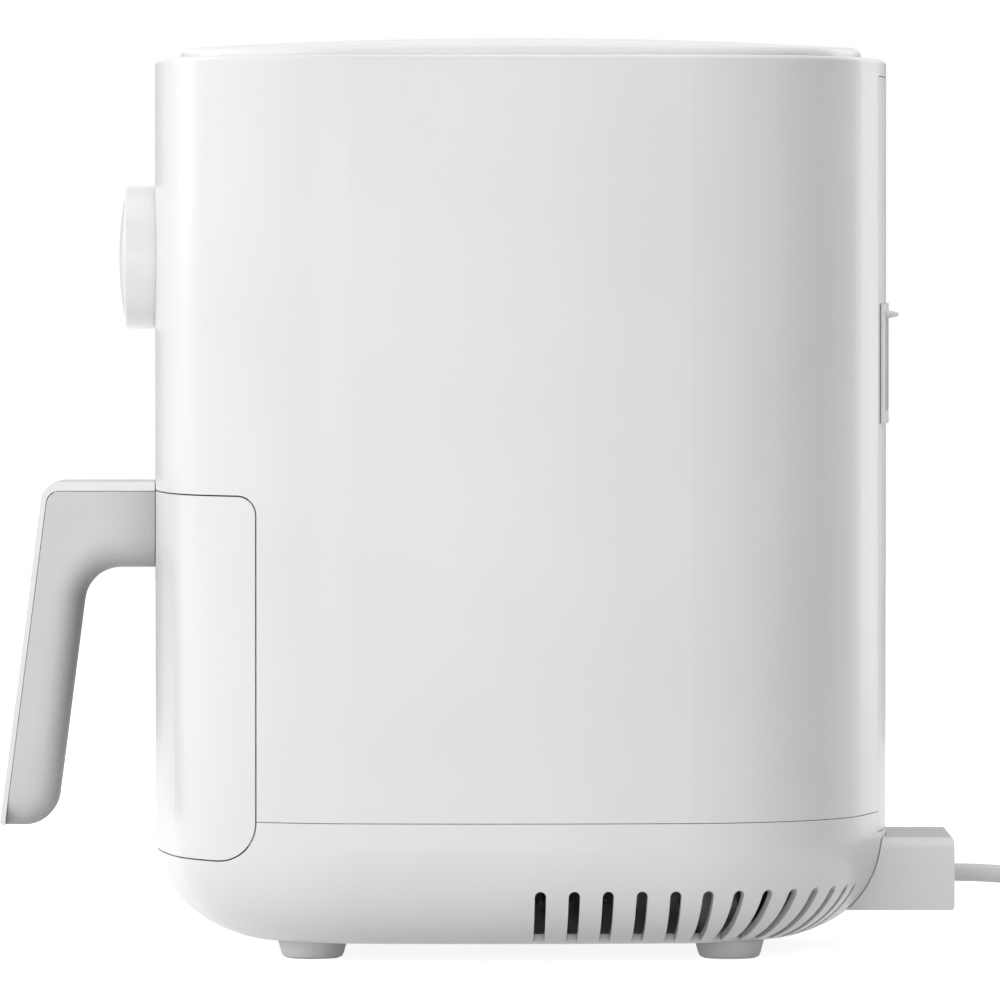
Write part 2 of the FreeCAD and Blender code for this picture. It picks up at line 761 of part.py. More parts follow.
cord_round = rounded("cord_round", cord_block, (box_shoulder, "6"), (box_edge, "1.2"))
cord_void = box(
    "cord_void",
    even("cord_box_width / 2 - wall"),
    ("0", "box_back - wall"),
    ("cord_box_low + wall", "cord_box_high - wall"),
)
cord_posts = [
    rod(f"cord_post{k}", "4", spot, ("half_d - 30", "box_back - 1"), "y")
    for k, spot in enumerate(CORD_SCREWS)
]
cord_shell = join("cord_shell", cut("cord_hollow", cord_round, cord_void), *cord_posts)
grommet_hole = rod("grommet_hole", "cord_r + 3", ("0", "cord_height"), ("half_d", "body_depth"), "y")
post_holes = [
    rod(f"post_hole{k}", "1.6", spot, ("0", "half_d + 10"), "y") for k, spot in enumerate(CORD_SCREWS)
]
node("cord_box", cut("cord_box", cord_shell, body_skin, grommet_hole, *post_holes))
node(
    "cord_box_screws",
    screws(
        "cord_box_screws",
        CORD_SCREWS,
        ("3.2", ("half_d - 10.6", "half_d - 8.2")),
        ("1.5", ("half_d - 8.2", "half_d + 9")),
        "y",
    ),
)
grommet_core = rod("grommet_core", "cord_r + 2.9", ("0", "cord_height"), ("box_back - 5", "box_back"), "y")
grommet_flange = rod(
    "grommet_flange",
    "cord_r + 3.6",
    ("0", "cord_height"),
    ("box_back - 5", "box_back - wall - seat_gap"),
    "y",
)
grommet_bore = rod("grommet_bore", "cord_r + 0.1", ("0", "cord_height"), ("0", "body_depth"), "y")
flange_room = box(
    "flange_room", ALL_X, ("0", "body_depth"), ("cord_box_low + wall + 0.1", "cord_box_high - wall - 0.1")
)
flange_cut = meet("flange_cut", grommet_flange, flange_room)
node("cord_grommet", cut("cord_grommet", join("grommet_full", grommet_core, flange_cut), grommet_bore))
clamp_block = box(
    "clamp_block",
    even("10"),
    ("half_d + 4", "half_d + 12"),
    ("cord_box_low + wall + seat_gap", "cord_height + 9"),
)
node("cord_clamp", cut("cord_clamp", clamp_block, grommet_bore))
bare("inner_lead", rod("lead_rod", "cord_r", ("0", "cord_height"), ("half_d - 32", "box_back"), "y"))
terminal_block = box(
    "terminal_body", even("18"), ("half_d - 50", "half_d - 32"), ("floor_top + seat_gap", "cord_height + 8")
)
terminal_slots = [
    box(
        f"terminal_slot{k}",
        (f"{x} - 3", f"{x} + 3"),
        ("half_d - 46", "half_d - 36"),
        ("cord_height + 2", "60"),
    )
    for k, x in enumerate((-11, 0, 11))
]
node("terminal_block", cut("terminal_block", terminal_block, *terminal_slots))
BOARD = ("floor_top + 3.2", "floor_top + 4.8")
power_sheet = box("power_sheet", ("board_left", "board_left + 60"), even("35"), BOARD)


def on_board(low, high, y, height):
    """The place of a block on the power board: two distances along it, a pair across it and a height."""
    return ((f"board_left + {low}", f"board_left + {high}"), y, ("floor_top + 4", f"floor_top + {height}"))


power_parts = [
    box("relay", *on_board(5, 23, ("-20", "-2"), 19)),
    box("transformer", *on_board(29, 53, ("-24", "0"), 22)),
    box("triac_fin", *on_board(35, 55, ("14", "17"), 21)),
    rod("capacitor", "6", ("board_left + 15", "14"), ("floor_top + 4", "floor_top + 20")),
]
node("power_board", join("power_board", power_sheet, *power_parts))

# Chamber liner
LINER_X = even("liner_half")
LINER_Z = ("liner_floor", "liner_roof")


def rear_upright(edge):
    return upright(edge) and edge.CenterOfMass.y > 0


liner_block = rounded_box(
    "liner_block",
    even("liner_out"),
    ("-liner_mouth", "liner_end"),
    ("liner_floor - sheet", "liner_roof + sheet"),
    "60 + sheet",
    rear_upright,
)
liner_void = rounded_box(
    "liner_void", LINER_X, ("sheet - liner_mouth", "liner_back"), LINER_Z, "60", rear_upright
)
liner_limit = drum("liner_limit", "wall + 1.7 + seat_gap", "base_height", "rim_height")
liner_fit = meet("liner_fit", liner_block, liner_limit)
liner_gate = box("liner_gate", LINER_X, ("-body_depth", "0"), ("liner_floor", "drawer_high + 1.5"))
fan_hole = rod("fan_hole", "7", ("0", "0"), ("liner_roof - 5", "liner_roof + 5"))
HEATER_ANGLE = 14.0


def heater_spot(radius, sign):
    """Where a heater end goes up, as formulas."""
    turn = math.radians(HEATER_ANGLE)
    bend = 10
    x = f"{radius} * {math.cos(turn):.6f} + {sign * bend * math.sin(turn):.6f}"
    y = f"{radius} * {math.sin(turn):.6f} - {sign * bend * math.cos(turn):.6f}"
    return (x, y)


HEATER_ENDS = [heater_spot(radius, 1) for radius in ("heater_outer", "heater_inner")]
heater_holes = [
    rod(f"heater_hole{k}", "heater_tube / 2 + 0.5", spot, ("liner_roof - 5", "liner_roof + 30"))
    for k, spot in enumerate(HEATER_ENDS)
]
vent_port = box("vent_port", even("30"), ("0", "body_depth"), ("liner_roof - 25", "liner_roof - 4"))
liner_screw_holes = [rod(f"liner_hole{k}", "2.15", spot, ("0", "60")) for k, spot in enumerate(SCREW_SPOTS)]
SENSOR = ("8 - liner_half", "35")
sensor_hole = rod("sensor_hole", "3.2", SENSOR, ("liner_roof - 5", "liner_roof + 5"))
node(
    "chamber_liner",
    cut(
        "chamber_liner",
        liner_fit,
        liner_void,
        liner_gate,
        fan_hole,
        *heater_holes,
        vent_port,
        *liner_screw_holes,
        sensor_hole,
    ),
)
RAIL_Z = ("liner_floor + seat_gap", "pan_low - 0.3")
rails = [
    box(f"rail{k}", (low, f"{low} + 10"), ("12 - liner_mouth", "liner_back - 11"), RAIL_Z)
    for k, low in enumerate(("27 - pan_half", "pan_half - 37"))
]
bare("drawer_rails", *rails)

# Exhaust duct
duct_y = ("liner_end + seat_gap", "body_depth")
duct_shell = box("duct_shell", even("37"), duct_y, ("liner_roof - 28", "grille_high + 2"))
duct_void = box(
    "duct_void", even("36"), ("liner_end + 1.2", "body_depth"), ("liner_roof - 27", "grille_high + 1")
)
duct_port = box("duct_port", even("30"), ("0", "body_depth"), ("liner_roof - 25", "liner_roof - 4"))
duct_limit = drum("duct_limit", "wall + 2.5", "base_height", "rim_height")
node("exhaust_duct", meet("exhaust_duct", cut("duct_open", duct_shell, duct_void, duct_port), duct_limit))

# Heat shield, motor and fans
shield_disc = rod("shield_disc", "shield_r", ("0", "0"), ("shield_low", "shield_low + 1"))
LEGS = four("(shield_r - 10) * 0.7071", "(shield_r - 10) * 0.7071")
shield_legs = [
    rod(f"shield_leg{k}", "4", spot, ("liner_roof + sheet + seat_gap", "shield_low + 0.5"))
    for k, spot in enumerate(LEGS)
]
shield_hole = rod("shield_hole", "7", ("0", "0"), ("liner_roof", "liner_roof + 30"))
switch_room = box(
    "switch_room",
    even("10.5"),
    ("-body_depth", "0.3 - liner_mouth"),
    ("drawer_high + 3.5", "drawer_high + 15.5"),
)
shield_full = join("shield_full", shield_disc, *shield_legs)
node("heat_shield", cut("heat_shield", shield_full, shield_hole, *heater_holes, switch_room))
bridge = box("bridge", even("50"), even("20"), ("bracket_low", "bracket_low + 2"))
bridge_legs = [
    box(f"bridge_leg{k}", pair, even("20"), ("shield_low + 1 + seat_gap", "bracket_low + 1"))
    for k, pair in enumerate((("-50", "-48"), ("48", "50")))
]
bridge_hole = rod("bridge_hole", "9", ("0", "0"), ("0", "300"))
node("motor_bracket", cut("motor_bracket", join("bridge_full", bridge, *bridge_legs), bridge_hole))
motor_can = rod("motor_can", "motor_radius", ("0", "0"), ("motor_low", "motor_high"))
motor_neck = rod("motor_neck", "8", ("0", "0"), ("bracket_low - 3", "motor_high + 3"))
motor_bore = rod("motor_bore", "shaft_radius + 0.05", ("0", "0"), ("0", "300"))
node("motor_body", cut("motor_body", join("motor_full", motor_can, motor_neck), motor_bore))
bare("motor_shaft", rod("shaft_rod", "shaft_radius", ("0", "0"), ("liner_roof - 20", "cooler_low + 20")))


def fan(name, radius, low, high, blades, below):
    """A fan with a disc and upright radial blades."""
    made = doc.addObject("PartDesign::Body", name)
    disc = drawn(made, name + "_plan", "XY_Plane", f"({high}) - 1.2" if below else low, [])
    disc.addGeometry(Part.Circle(Vector(), Vector(0, 0, 1), value(radius)), False)
    constrain(disc, [("Coincident", (0, 3, -1, 1))])
    held(disc, "Radius", (0,), radius)
    padded(made, name + "_disc", disc, "1.2")
    hub = drawn(made, name + "_hub_plan", "XY_Plane", low, [])
    hub.addGeometry(Part.Circle(Vector(), Vector(0, 0, 1), 8), False)
    constrain(hub, [("Coincident", (0, 3, -1, 1))])
    held(hub, "Radius", (0,), "8")
    padded(made, name + "_hub", hub, f"({high}) - ({low})")
    blade = drawn(
        made,
        name + "_blade_plan",
        "XY_Plane",
        low,
        [("7", "-0.8"), (f"{radius} - 1", "3.2"), (f"{radius} - 1", "4.8"), ("7", "0.8")],
    )
    wing = padded(made, name + "_blade", blade, f"({high}) - ({low})")
    doc.recompute()
    ring = made.newObject("PartDesign::PolarPattern", name + "_blades")
    ring.Originals = [wing]
    ring.Axis = (blade, ["N_Axis"])
    ring.Angle = 360
    ring.Occurrences = blades
    made.Tip = ring
    doc.recompute()
    bore = drawn(made, name + "_bore_plan", "XY_Plane", f"({low}) - 1", [])
    bore.addGeometry(Part.Circle(Vector(), Vector(0, 0, 1), 2.6), False)
    constrain(bore, [("Coincident", (0, 3, -1, 1))])
    held(bore, "Radius", (0,), "shaft_radius + 0.1")
    hole = made.newObject("PartDesign::Pocket", name + "_bore")
    hole.Profile = bore
    hole.Reversed = True
    bind(hole, "Length", f"({high}) - ({low}) + 2")
    made.Tip = hole
    return made


node("convection_fan", fan("convection_fan", "fan_radius", "liner_roof - 17", "liner_roof - 5", 12, True))
node("cooling_fan", fan("cooling_fan", "fan_radius - 8", "cooler_low", "cooler_low + 12", 9, False))
nut_block = doc.addObject("Part::Prism", "nut_block")
nut_block.Polygon = 6
bind(nut_block, "Circumradius", "shaft_radius + 2.6")
bind(nut_block, "Height", "2.6")
bind(nut_block, ".Placement.Base.z", "liner_roof - 19.8")
node("fan_nut", cut("fan_nut", nut_block, rod("nut_bore", "shaft_radius + 0.1", ("0", "0"), ("0", "300"))))

# Heater guard, clips and sensor
GUARD = ("heater_height - 14", "heater_height - 12")


def hoop(name, radius, width):
    outer = rod(name + "_out", f"{radius}", ("0", "0"), GUARD)
    return cut(name, outer, rod(name + "_in", f"{radius} - {width}", ("0", "0"), ("0", "300")))


hoops = [hoop(f"hoop{k}", f"liner_mouth - 2 - {19 * k}", 2.5) for k in range(4)]
guard_bars = [
    box("guard_bar_x", even("liner_mouth - 3"), even("1.5"), GUARD),
    box("guard_bar_y", even("1.5"), even("liner_mouth - 3"), GUARD),
]
GUARD_LEGS = four("(liner_mouth - 4.4) * 0.7071", "(liner_mouth - 4.4) * 0.7071")
guard_legs = [
    rod(f"guard_leg{k}", "2.2", spot, ("heater_height - 13.5", "liner_roof - seat_gap"))
    for k, spot in enumerate(GUARD_LEGS)
]
node("heater_guard", join("heater_guard", *hoops, *guard_bars, *guard_legs))
clips = []
for k, degrees in enumerate((80, 180, 280)):
    turn = math.radians(degrees)
    x = f"(heater_outer + heater_inner) / 2 * {math.cos(turn):.6f}"
    y = f"(heater_outer + heater_inner) / 2 * {math.sin(turn):.6f}"
    post = rod(f"clip_post{k}", "3", (x, y), ("heater_height - 4", "liner_roof - seat_gap"))
    shoe = rod(
        f"clip_shoe{k}",
        "13",
        (x, y),
        ("heater_height + heater_tube / 2 + 0.2", "heater_height + heater_tube / 2 + 1.7"),
    )
    clips.append(join(f"clip{k}", post, shoe))
bare("heater_clips", *clips)
sensor_stem = rod("sensor_stem", "3", SENSOR, ("liner_roof - 15", "liner_roof + 12"))
sensor_collar = rod(
    "sensor_collar", "5", SENSOR, ("liner_roof + sheet + seat_gap", "liner_roof + 5")
)
node("temperature_sensor", join("temperature_sensor", sensor_stem, sensor_collar))

# Knob and its encoder, turned about the level axis in front
knob_half = "knob_diameter / 2"
knob_front = "half_d + knob_reach - knob_dome"
knob = turned(
    "knob_body",
    [
        ("3.1", "3.4 - half_d"),
        (knob_half, "3.4 - half_d"),
        (knob_half, f"0.8 - ({knob_front})"),
        (f"{knob_half} - 0.3", f"0.25 - ({knob_front})"),
        (f"{knob_half} - 0.8", f"-({knob_front})"),
        (f"{knob_half} - 1.6", f"-({knob_front})"),
        (f"{knob_half} - 1.6", f"2 - ({knob_front})"),
        (f"{knob_half} - 4", f"2 - ({knob_front})"),
        (f"{knob_half} - 4", "1 - half_d"),
        ("7", "1 - half_d"),
        ("7", f"3 - ({knob_front})"),
        ("3.1", f"3 - ({knob_front})"),
    ],
    "XY_Plane",
)
bind(knob, ".Placement.Base.z", "knob_height")
node("knob_body", knob)
cap_half = "(knob_diameter / 2 - 1.75)"
cap_radius = f"({cap_half}^2 + knob_dome^2) / (2 * knob_dome)"
cap_rod = rod("cap_rod", cap_half, KNOB, ("-half_d - knob_reach - 5", f"1.9 - ({knob_front})"), "y")
cap_ball = doc.addObject("Part::Sphere", "cap_ball")
bind(cap_ball, "Radius", cap_radius)
bind(cap_ball, ".Placement.Base.y", f"{cap_radius} - half_d - knob_reach")
bind(cap_ball, ".Placement.Base.z", "knob_height")
node("knob_cap", meet("knob_cap", cap_rod, cap_ball))
bare("encoder_shaft", rod("encoder_rod", "3", KNOB, (f"4 - ({knob_front})", "board_front - 4"), "y"))
encoder_case = box(
    "encoder_case",
    even("7"),
    ("board_front - 6.8", "board_front - 0.2"),
    ("knob_height - 7", "knob_height + 7"),
)
encoder_hole = rod("encoder_hole", "3.05", KNOB, ("-body_depth", "board_front - 3.8"), "y")
node("encoder_body", cut("encoder_body", encoder_case, encoder_hole))
BOARD_Z = ("knob_height - 29", "knob_height + 29")
board = box("board", even("45"), ("board_front", "board_front + 1.6"), BOARD_Z)
chips = [
    box(f"chip{k}", (f"{x} - 6", f"{x} + 6"), ("board_front + 1", "board_front + 4"), (z, f"{z} + 12"))
    for k, (x, z) in enumerate(((-25, "knob_height - 20"), (20, "knob_height + 6")))
]
node("control_board", join("control_board", board, *chips))

# Drawer front and what is behind it
front_block = meet("front_block", body_form, drawer_region)
front_shell = cut("front_shell", front_block, drawer_void)
PLATE_SPOTS = [(x, z) for x in even("liner_half - 31") for z in ("drawer_low + 22", "drawer_high - 18")]
post_limit = envelope("post_limit", "1", "base_height + 1", "rim_height")
long_posts = [
    rod(f"long_post{k}", "4", spot, ("-half_d", "-plate_front - seat_gap"), "y")
    for k, spot in enumerate(PLATE_SPOTS)
]
posts_cut = meet("posts_cut", join("posts_full", *long_posts), post_limit)
HANDLE_SPOTS = [(x, "(arm_low + handle_top) / 2 - 1") for x in ("-9", "9")]
handle_holes = [
    rod(f"handle_hole{k}", "2.15", spot, ("-half_d - 18", "0"), "y") for k, spot in enumerate(HANDLE_SPOTS)
]
plate_holes = [
    rod(f"plate_hole{k}", "1.6", spot, ("-plate_front - 8", "0"), "y") for k, spot in enumerate(PLATE_SPOTS)
]
front_full = join("front_full", front_shell, posts_cut)
node("drawer_front", cut("drawer_front", front_full, *handle_holes, *plate_holes))
plate_block = box(
    "plate_block",
    even("liner_half - 3"),
    ("-plate_front", "-plate_back"),
    ("drawer_low + 3", "drawer_high - 2.5"),
)
BRACKET_SPOTS = [(x, z) for x in ("-18", "18") for z in ("pan_high - 38", "pan_high - 14")]
bracket_holes = [
    rod(f"bracket_hole{k}", "1.6", spot, ("-plate_front - 5", "0"), "y")
    for k, spot in enumerate(BRACKET_SPOTS)
]
plate_fit = meet("plate_fit", plate_block, liner_limit)
node("drawer_plate", cut("drawer_plate", plate_fit, *plate_holes, *bracket_holes))
node(
    "plate_screws",
    screws(
        "plate_screws",
        PLATE_SPOTS,
        ("3", ("seat_gap - plate_back", "2.2 - plate_back")),
        ("1.5", ("-plate_front - 7", "1 - plate_back")),
        "y",
    ),
)
node(
    "handle_screws",
    screws(
        "handle_screws",
        HANDLE_SPOTS,
        ("3.6", ("drawer_wall - half_d + 0.3", "drawer_wall - half_d + 2.8")),
        ("2", ("-half_d - 17", "drawer_wall - half_d + 1")),
        "y",
    ),
)

# Handle
lean = "(handle_reach_low - handle_reach_top) / (handle_top - handle_low)"


def outer_y(z, depth):
    """A line parallel to the handle's outer face."""
    return f"-half_d - handle_reach_low + {lean} * ({z} - handle_low) + {depth}"


root = "12 - half_d"
grip_top = "(handle_top - strip_top)"
grip_view = side_profile(
    "grip_view",
    [
        (root, grip_top),
        (outer_y(grip_top, "strip_front"), grip_top),
        (outer_y("handle_low", "strip_front"), "handle_low"),
        (outer_y("handle_low", "grip_depth"), "handle_low"),
        (outer_y("arm_low", "grip_depth"), "arm_low"),
        (root, "arm_low"),
    ],
    "handle_width",
)


def cross_edge(height, depth):
    """A test for the crosswise edge of the handle at a corner of its side view."""

    def test(edge):
        if not along(edge, "x"):
            return False
        spot = edge.CenterOfMass
        y = value(outer_y(height, depth))
        return abs(spot.z - value(height)) < 1e-3 and abs(spot.y - y) < 1e-3

    return test


grip_bent = rounded(
    "grip_bent",
    grip_view,
    (cross_edge(grip_top, "strip_front"), "4.4"),
    (cross_edge("handle_low", "grip_depth"), "11.5"),
    (cross_edge("arm_low", "grip_depth"), "13"),
)


def inner_side(edge):
    """The long edges of the grip that face the body."""
    half = value("handle_width / 2")
    points = edge.discretize(5)
    if any(abs(abs(point.x) - half) > 1e-3 for point in points):
        return False
    middle = points[2]
    low = value("handle_low")
    line = -value("half_d") - value("handle_reach_low") + value(lean) * (middle.z - low)
    behind = middle.y > line + value("strip_front") + 4
    return behind and middle.z < value("arm_low + 5") and middle.y < value("11 - half_d")


grip_soft = rounded("grip_soft", grip_bent, (inner_side, "10.8"))
node("handle_grip", cut("handle_grip", grip_soft, body_skin, *handle_holes))
strip_view = side_profile(
    "strip_view",
    [
        (root, "handle_top"),
        (outer_y("handle_top", "0"), "handle_top"),
        (outer_y("(handle_low + 1)", "0"), "handle_low + 1"),
        (outer_y("(handle_low - 0)", "strip_front - 0.15"), "handle_low"),
        (outer_y(grip_top, "strip_front - 0.15"), f"{grip_top} + 0.15"),
        (root, f"{grip_top} + 0.15"),
    ],
    "handle_width",
)


def strip_inner(edge):
    spot = edge.CenterOfMass
    level = abs(spot.z - value(f"{grip_top} + 0.15")) < 1e-3
    return along(edge, "x") and level and spot.y < value("-half_d - 20")


strip_bent = rounded(
    "strip_bent", strip_view, (cross_edge("handle_top", "0"), "7"), (strip_inner, "4.2")
)
node("handle_cover", cut("handle_cover", strip_bent, body_skin))

# Pan and tray
pan_tub = rounded_box("pan_tub", even("pan_half"), ("-pan_front", "pan_back"), ("pan_low", "pan_high"), "50")


def tub_floor(edge):
    return at_height(edge, "pan_low")


pan_soft = rounded("pan_soft", pan_tub, (tub_floor, "8"))
pan_lip = rounded_box(
    "pan_lip",
    even("pan_half + 3"),
    ("-pan_front - 3", "pan_back + 3"),
    ("pan_high - 1.5", "pan_high"),
    "53",
)
pan_hollow = rounded_box(
    "pan_hollow",
    even("pan_half - pan_wall"),
    ("pan_wall - pan_front", "pan_back - pan_wall"),
    ("pan_low + pan_wall", "pan_high + 5"),
    "50 - pan_wall",
)


def hollow_floor(edge):
    return at_height(edge, "pan_low + pan_wall")


pan_hollow_soft = rounded("pan_hollow_soft", pan_hollow, (hollow_floor, "8 - pan_wall"))
node("pan", cut("pan", join("pan_full", pan_soft, pan_lip), pan_hollow_soft, *bracket_holes))
bracket_block = box(
    "bracket_block",
    even("30"),
    ("seat_gap - plate_back", "-pan_front - seat_gap"),
    ("pan_high - 46", "pan_high - 6"),
)
node("pan_bracket", cut("pan_bracket", bracket_block, *bracket_holes))
node(
    "pan_screws",
    screws(
        "pan_screws",
        BRACKET_SPOTS,
        ("3", ("pan_wall - pan_front + 0.2", "pan_wall - pan_front + 2")),
        ("1.5", ("-plate_front + 0.3", "pan_wall - pan_front + 1")),
        "y",
    ),
)
tray = doc.addObject("PartDesign::Body", "crisper_tray")
TRAY_FRONT = "pan_front - 6"
TRAY_HALF = "pan_half - 6"
TRAY_BACK = "pan_back - 6"
tray_plan = drawn(
    tray,
    "tray_plan",
    "XY_Plane",
    "tray_height",
    [
        (f"-({TRAY_HALF})", f"-({TRAY_FRONT})"),
        (TRAY_HALF, f"-({TRAY_FRONT})"),
        (TRAY_HALF, TRAY_BACK),
        (f"-({TRAY_HALF})", TRAY_BACK),
    ],
)
tray_plate = padded(tray, "tray_plate", tray_plan, "2")
doc.recompute()
tray_round = tray.newObject("PartDesign::Fillet", "tray_round")
tray_round.Base = (tray_plate, [f"Edge{k}" for k, e in enumerate(tray_plate.Shape.Edges, 1) if upright(e)])
tray_round.Radius = 46
doc.recompute()
TRAY_LEGS = four("pan_half - 33", "pan_front - 20")
for k, (x, y) in enumerate(TRAY_LEGS):
    leg = drawn(tray, f"tray_leg_plan{k}", "XY_Plane", "pan_low + pan_wall + 2.4", [])
    leg.addGeometry(Part.Circle(Vector(value(x), value(y), 0), Vector(0, 0, 1), 4), False)
    pinned(leg, 0, 3, (x, y))
    held(leg, "Radius", (0,), "4")
    padded(tray, f"tray_leg{k}", leg, "tray_height - pan_low - pan_wall - 1.4")
doc.recompute()
HOLE_PITCH = 17
HOLE_COUNT = 7
hole_plan = drawn(tray, "tray_hole_plan", "XY_Plane", "tray_height + 2", [])
first_spot = (-HOLE_PITCH * (HOLE_COUNT - 1) / 2, -HOLE_PITCH * (HOLE_COUNT - 1) / 2 + 3)
hole_plan.addGeometry(Part.Circle(Vector(first_spot[0], first_spot[1], 0), Vector(0, 0, 1), 3.2), False)
pinned(hole_plan, 0, 3, (str(first_spot[0]), str(first_spot[1])))
held(hole_plan, "Radius", (0,), "3.2")
tray_hole = tray.newObject("PartDesign::Pocket", "tray_hole")
tray_hole.Profile = hole_plan
tray_hole.Length = 2
doc.recompute()
grid = tray.newObject("PartDesign::MultiTransform", "tray_holes")
grid.Originals = [tray_hole]
rows = []
for k, axis in enumerate(("H_Axis", "V_Axis")):
    step = tray.newObject("PartDesign::LinearPattern", f"tray_row{k}")
    step.Direction = (hole_plan, [axis])
    step.Length = HOLE_PITCH * (HOLE_COUNT - 1)
    step.Occurrences = HOLE_COUNT
    rows.append(step)
grid.Transformations = rows
tray.Tip = grid
doc.recompute()
node("crisper_tray", tray)
bumpers = []
for k, spot in enumerate(TRAY_LEGS):
    cup = rod(f"bumper_cup{k}", "6.5", spot, ("pan_low + pan_wall + 0.3", "pan_low + pan_wall + 6"))
    seat = rod(f"bumper_seat{k}", "4.1", spot, ("pan_low + pan_wall + 2.2", "tray_height"))
    bumpers.append(cut(f"bumper{k}", cup, seat))
bare("tray_bumpers", *bumpers)

# Drawer switch
switch_case = box(
    "switch_case",
    even("10"),
    ("-liner_mouth - 15", "-liner_mouth - 0.2"),
    ("drawer_high + 4", "drawer_high + 15"),
)
PLUNGER = ("0", "-plate_back - 1.2")
switch_bore = rod("switch_bore", "2.2", PLUNGER, ("0", "drawer_high + 10"))
node("drawer_switch", cut("drawer_switch", switch_case, switch_bore))
plunger_rod = rod("plunger_rod", "2", PLUNGER, ("drawer_high - 2.2", "drawer_high + 8"))
bare("switch_plunger", plunger_rod)


# Heating element: two rings joined by a hairpin bend, with both ends going up
def arc(first, middle, last):
    return Part.Arc(first, middle, last).toShape()


def polar(radius, degrees, height):
    turn = math.radians(degrees)
    return Vector(radius * math.cos(turn), radius * math.sin(turn), height)


def tube(path, radius, solid_name):
    """A round tube along a path of tangent lines and arcs, with its volume checked."""
    wire = Part.Wire(path)
    first = path[0]
    start = first.valueAt(first.FirstParameter)
    ahead = first.tangentAt(first.FirstParameter)
    ring = Part.Wire(Part.Circle(start, ahead, radius).toShape())
    shell = wire.makePipeShell([ring], True, False)
    wanted = math.pi * radius**2 * wire.Length
    print(f"{solid_name}: length {wire.Length:.1f}, volume share {shell.Volume / wanted:.4f}")
    return shell


def heater_path():
    outer = value("heater_outer")
    inner = value("heater_inner")
    level = value("heater_height")
    top = value("shield_low + 8")
    bend = 10.0
    low_angle = HEATER_ANGLE
    high_angle = 360 - HEATER_ANGLE
    edges = []
    up = Vector(0, 0, 1)

    def riser(radius):
        foot = polar(radius, low_angle, level)
        turn = math.radians(low_angle)
        back = Vector(math.sin(turn), -math.cos(turn), 0)
        knee = foot + back * bend + up * bend
        elbow = foot + back * (bend * math.sin(math.pi / 4)) + up * (bend * (1 - math.cos(math.pi / 4)))
        tip = Vector(knee.x, knee.y, top)
        return foot, elbow, knee, tip

    foot, elbow, knee, tip = riser(outer)
    edges.append(Part.LineSegment(tip, knee).toShape())
    edges.append(arc(knee, elbow, foot))
    edges.append(arc(foot, polar(outer, 97, level), polar(outer, 180, level)))
    edges.append(arc(polar(outer, 180, level), polar(outer, 263, level), polar(outer, high_angle, level)))
    middle = polar((outer + inner) / 2, high_angle, level)
    turn = math.radians(high_angle)
    forward = Vector(-math.sin(turn), math.cos(turn), 0) * ((outer - inner) / 2)
    edges.append(arc(polar(outer, high_angle, level), middle + forward, polar(inner, high_angle, level)))
    edges.append(arc(polar(inner, high_angle, level), polar(inner, 263, level), polar(inner, 180, level)))
    foot, elbow, knee, tip = riser(inner)
    edges.append(arc(polar(inner, 180, level), polar(inner, 97, level), foot))
    edges.append(arc(foot, elbow, knee))
    edges.append(Part.LineSegment(knee, tip).toShape())
    return edges


def computed(name, shape):
    made = doc.addObject("Part::Feature", name)
    made.Shape = shape
    return node(name, made)


computed("heating_element", tube(heater_path(), value("heater_tube / 2"), "heating_element"))


# Free cord: straight runs joined by tangent arcs
def smooth_route(points):
    """Straight runs with an arc at each inner point."""
    edges = []
    here = points[0]
    for before, corner, after in zip(points, points[1:], points[2:]):
        incoming = (corner - before).normalize()
        outgoing = (after - corner).normalize()
        shorter = min((corner - before).Length, (after - corner).Length)
        half_turn = incoming.getAngle(outgoing) / 2
        reach = 0.45 * shorter
        print(f"cord arc radius {reach / math.tan(half_turn):.1f}")
        begin = corner - incoming * reach
        end = corner + outgoing * reach
        bisector = (outgoing - incoming).normalize()
        radius = reach / math.tan(half_turn)
        middle = corner + bisector * (radius / math.cos(half_turn) - radius)
        edges.append(Part.LineSegment(here, begin).toShape())
        edges.append(arc(begin, middle, end))
        here = end
    edges.append(Part.LineSegment(here, points[-1]).toShape())
    return edges


cord_radius = value("cord_r")
coil_level = value("coil_low")
cord_points = [
    Vector(0, value("box_back"), value("cord_height")),
    Vector(0, value("box_back + 36"), value("cord_height")),
    Vector(0, value("coil_distance - 30"), coil_level),
    Vector(0, value("coil_distance"), coil_level),
]
computed("mains_cord", tube(smooth_route(cord_points), cord_radius, "mains_cord"))


# Coiled cord: two layers, in below and out above
def biarc(first, first_way, last, last_way):
    """Two tangent arcs from one place and direction to another."""
    gap = last - first
    both = first_way + last_way
    share = 2 * (1 - first_way.dot(last_way))
    along_both = gap.dot(both)
    if share < 1e-9:
        reach = gap.dot(gap) / (4 * gap.dot(last_way))
    else:
        reach = (-along_both + math.sqrt(along_both**2 + share * gap.dot(gap))) / share
    near = first + first_way * reach
    far = last - last_way * reach
    joint = (near + far) * 0.5
    return [tangent_arc(first, first_way, joint), tangent_arc(joint, (far - near).normalize(), last)]


def tangent_arc(first, way, last):
    """The arc that leaves a place in a direction and ends at another place."""
    chord = last - first
    across = chord - way * chord.dot(way)
    if across.Length < 1e-7:
        return Part.LineSegment(first, last).toShape()
    normal = across.normalize()
    radius = chord.dot(chord) / (2 * chord.dot(normal))
    centre = first + normal * radius
    middle_way = ((first - centre) + (last - centre)).normalize()
    return arc(first, centre + middle_way * radius, last)


COIL_STEPS = (0, 1, 2, 3, 4, 5, 3, 2, 1)


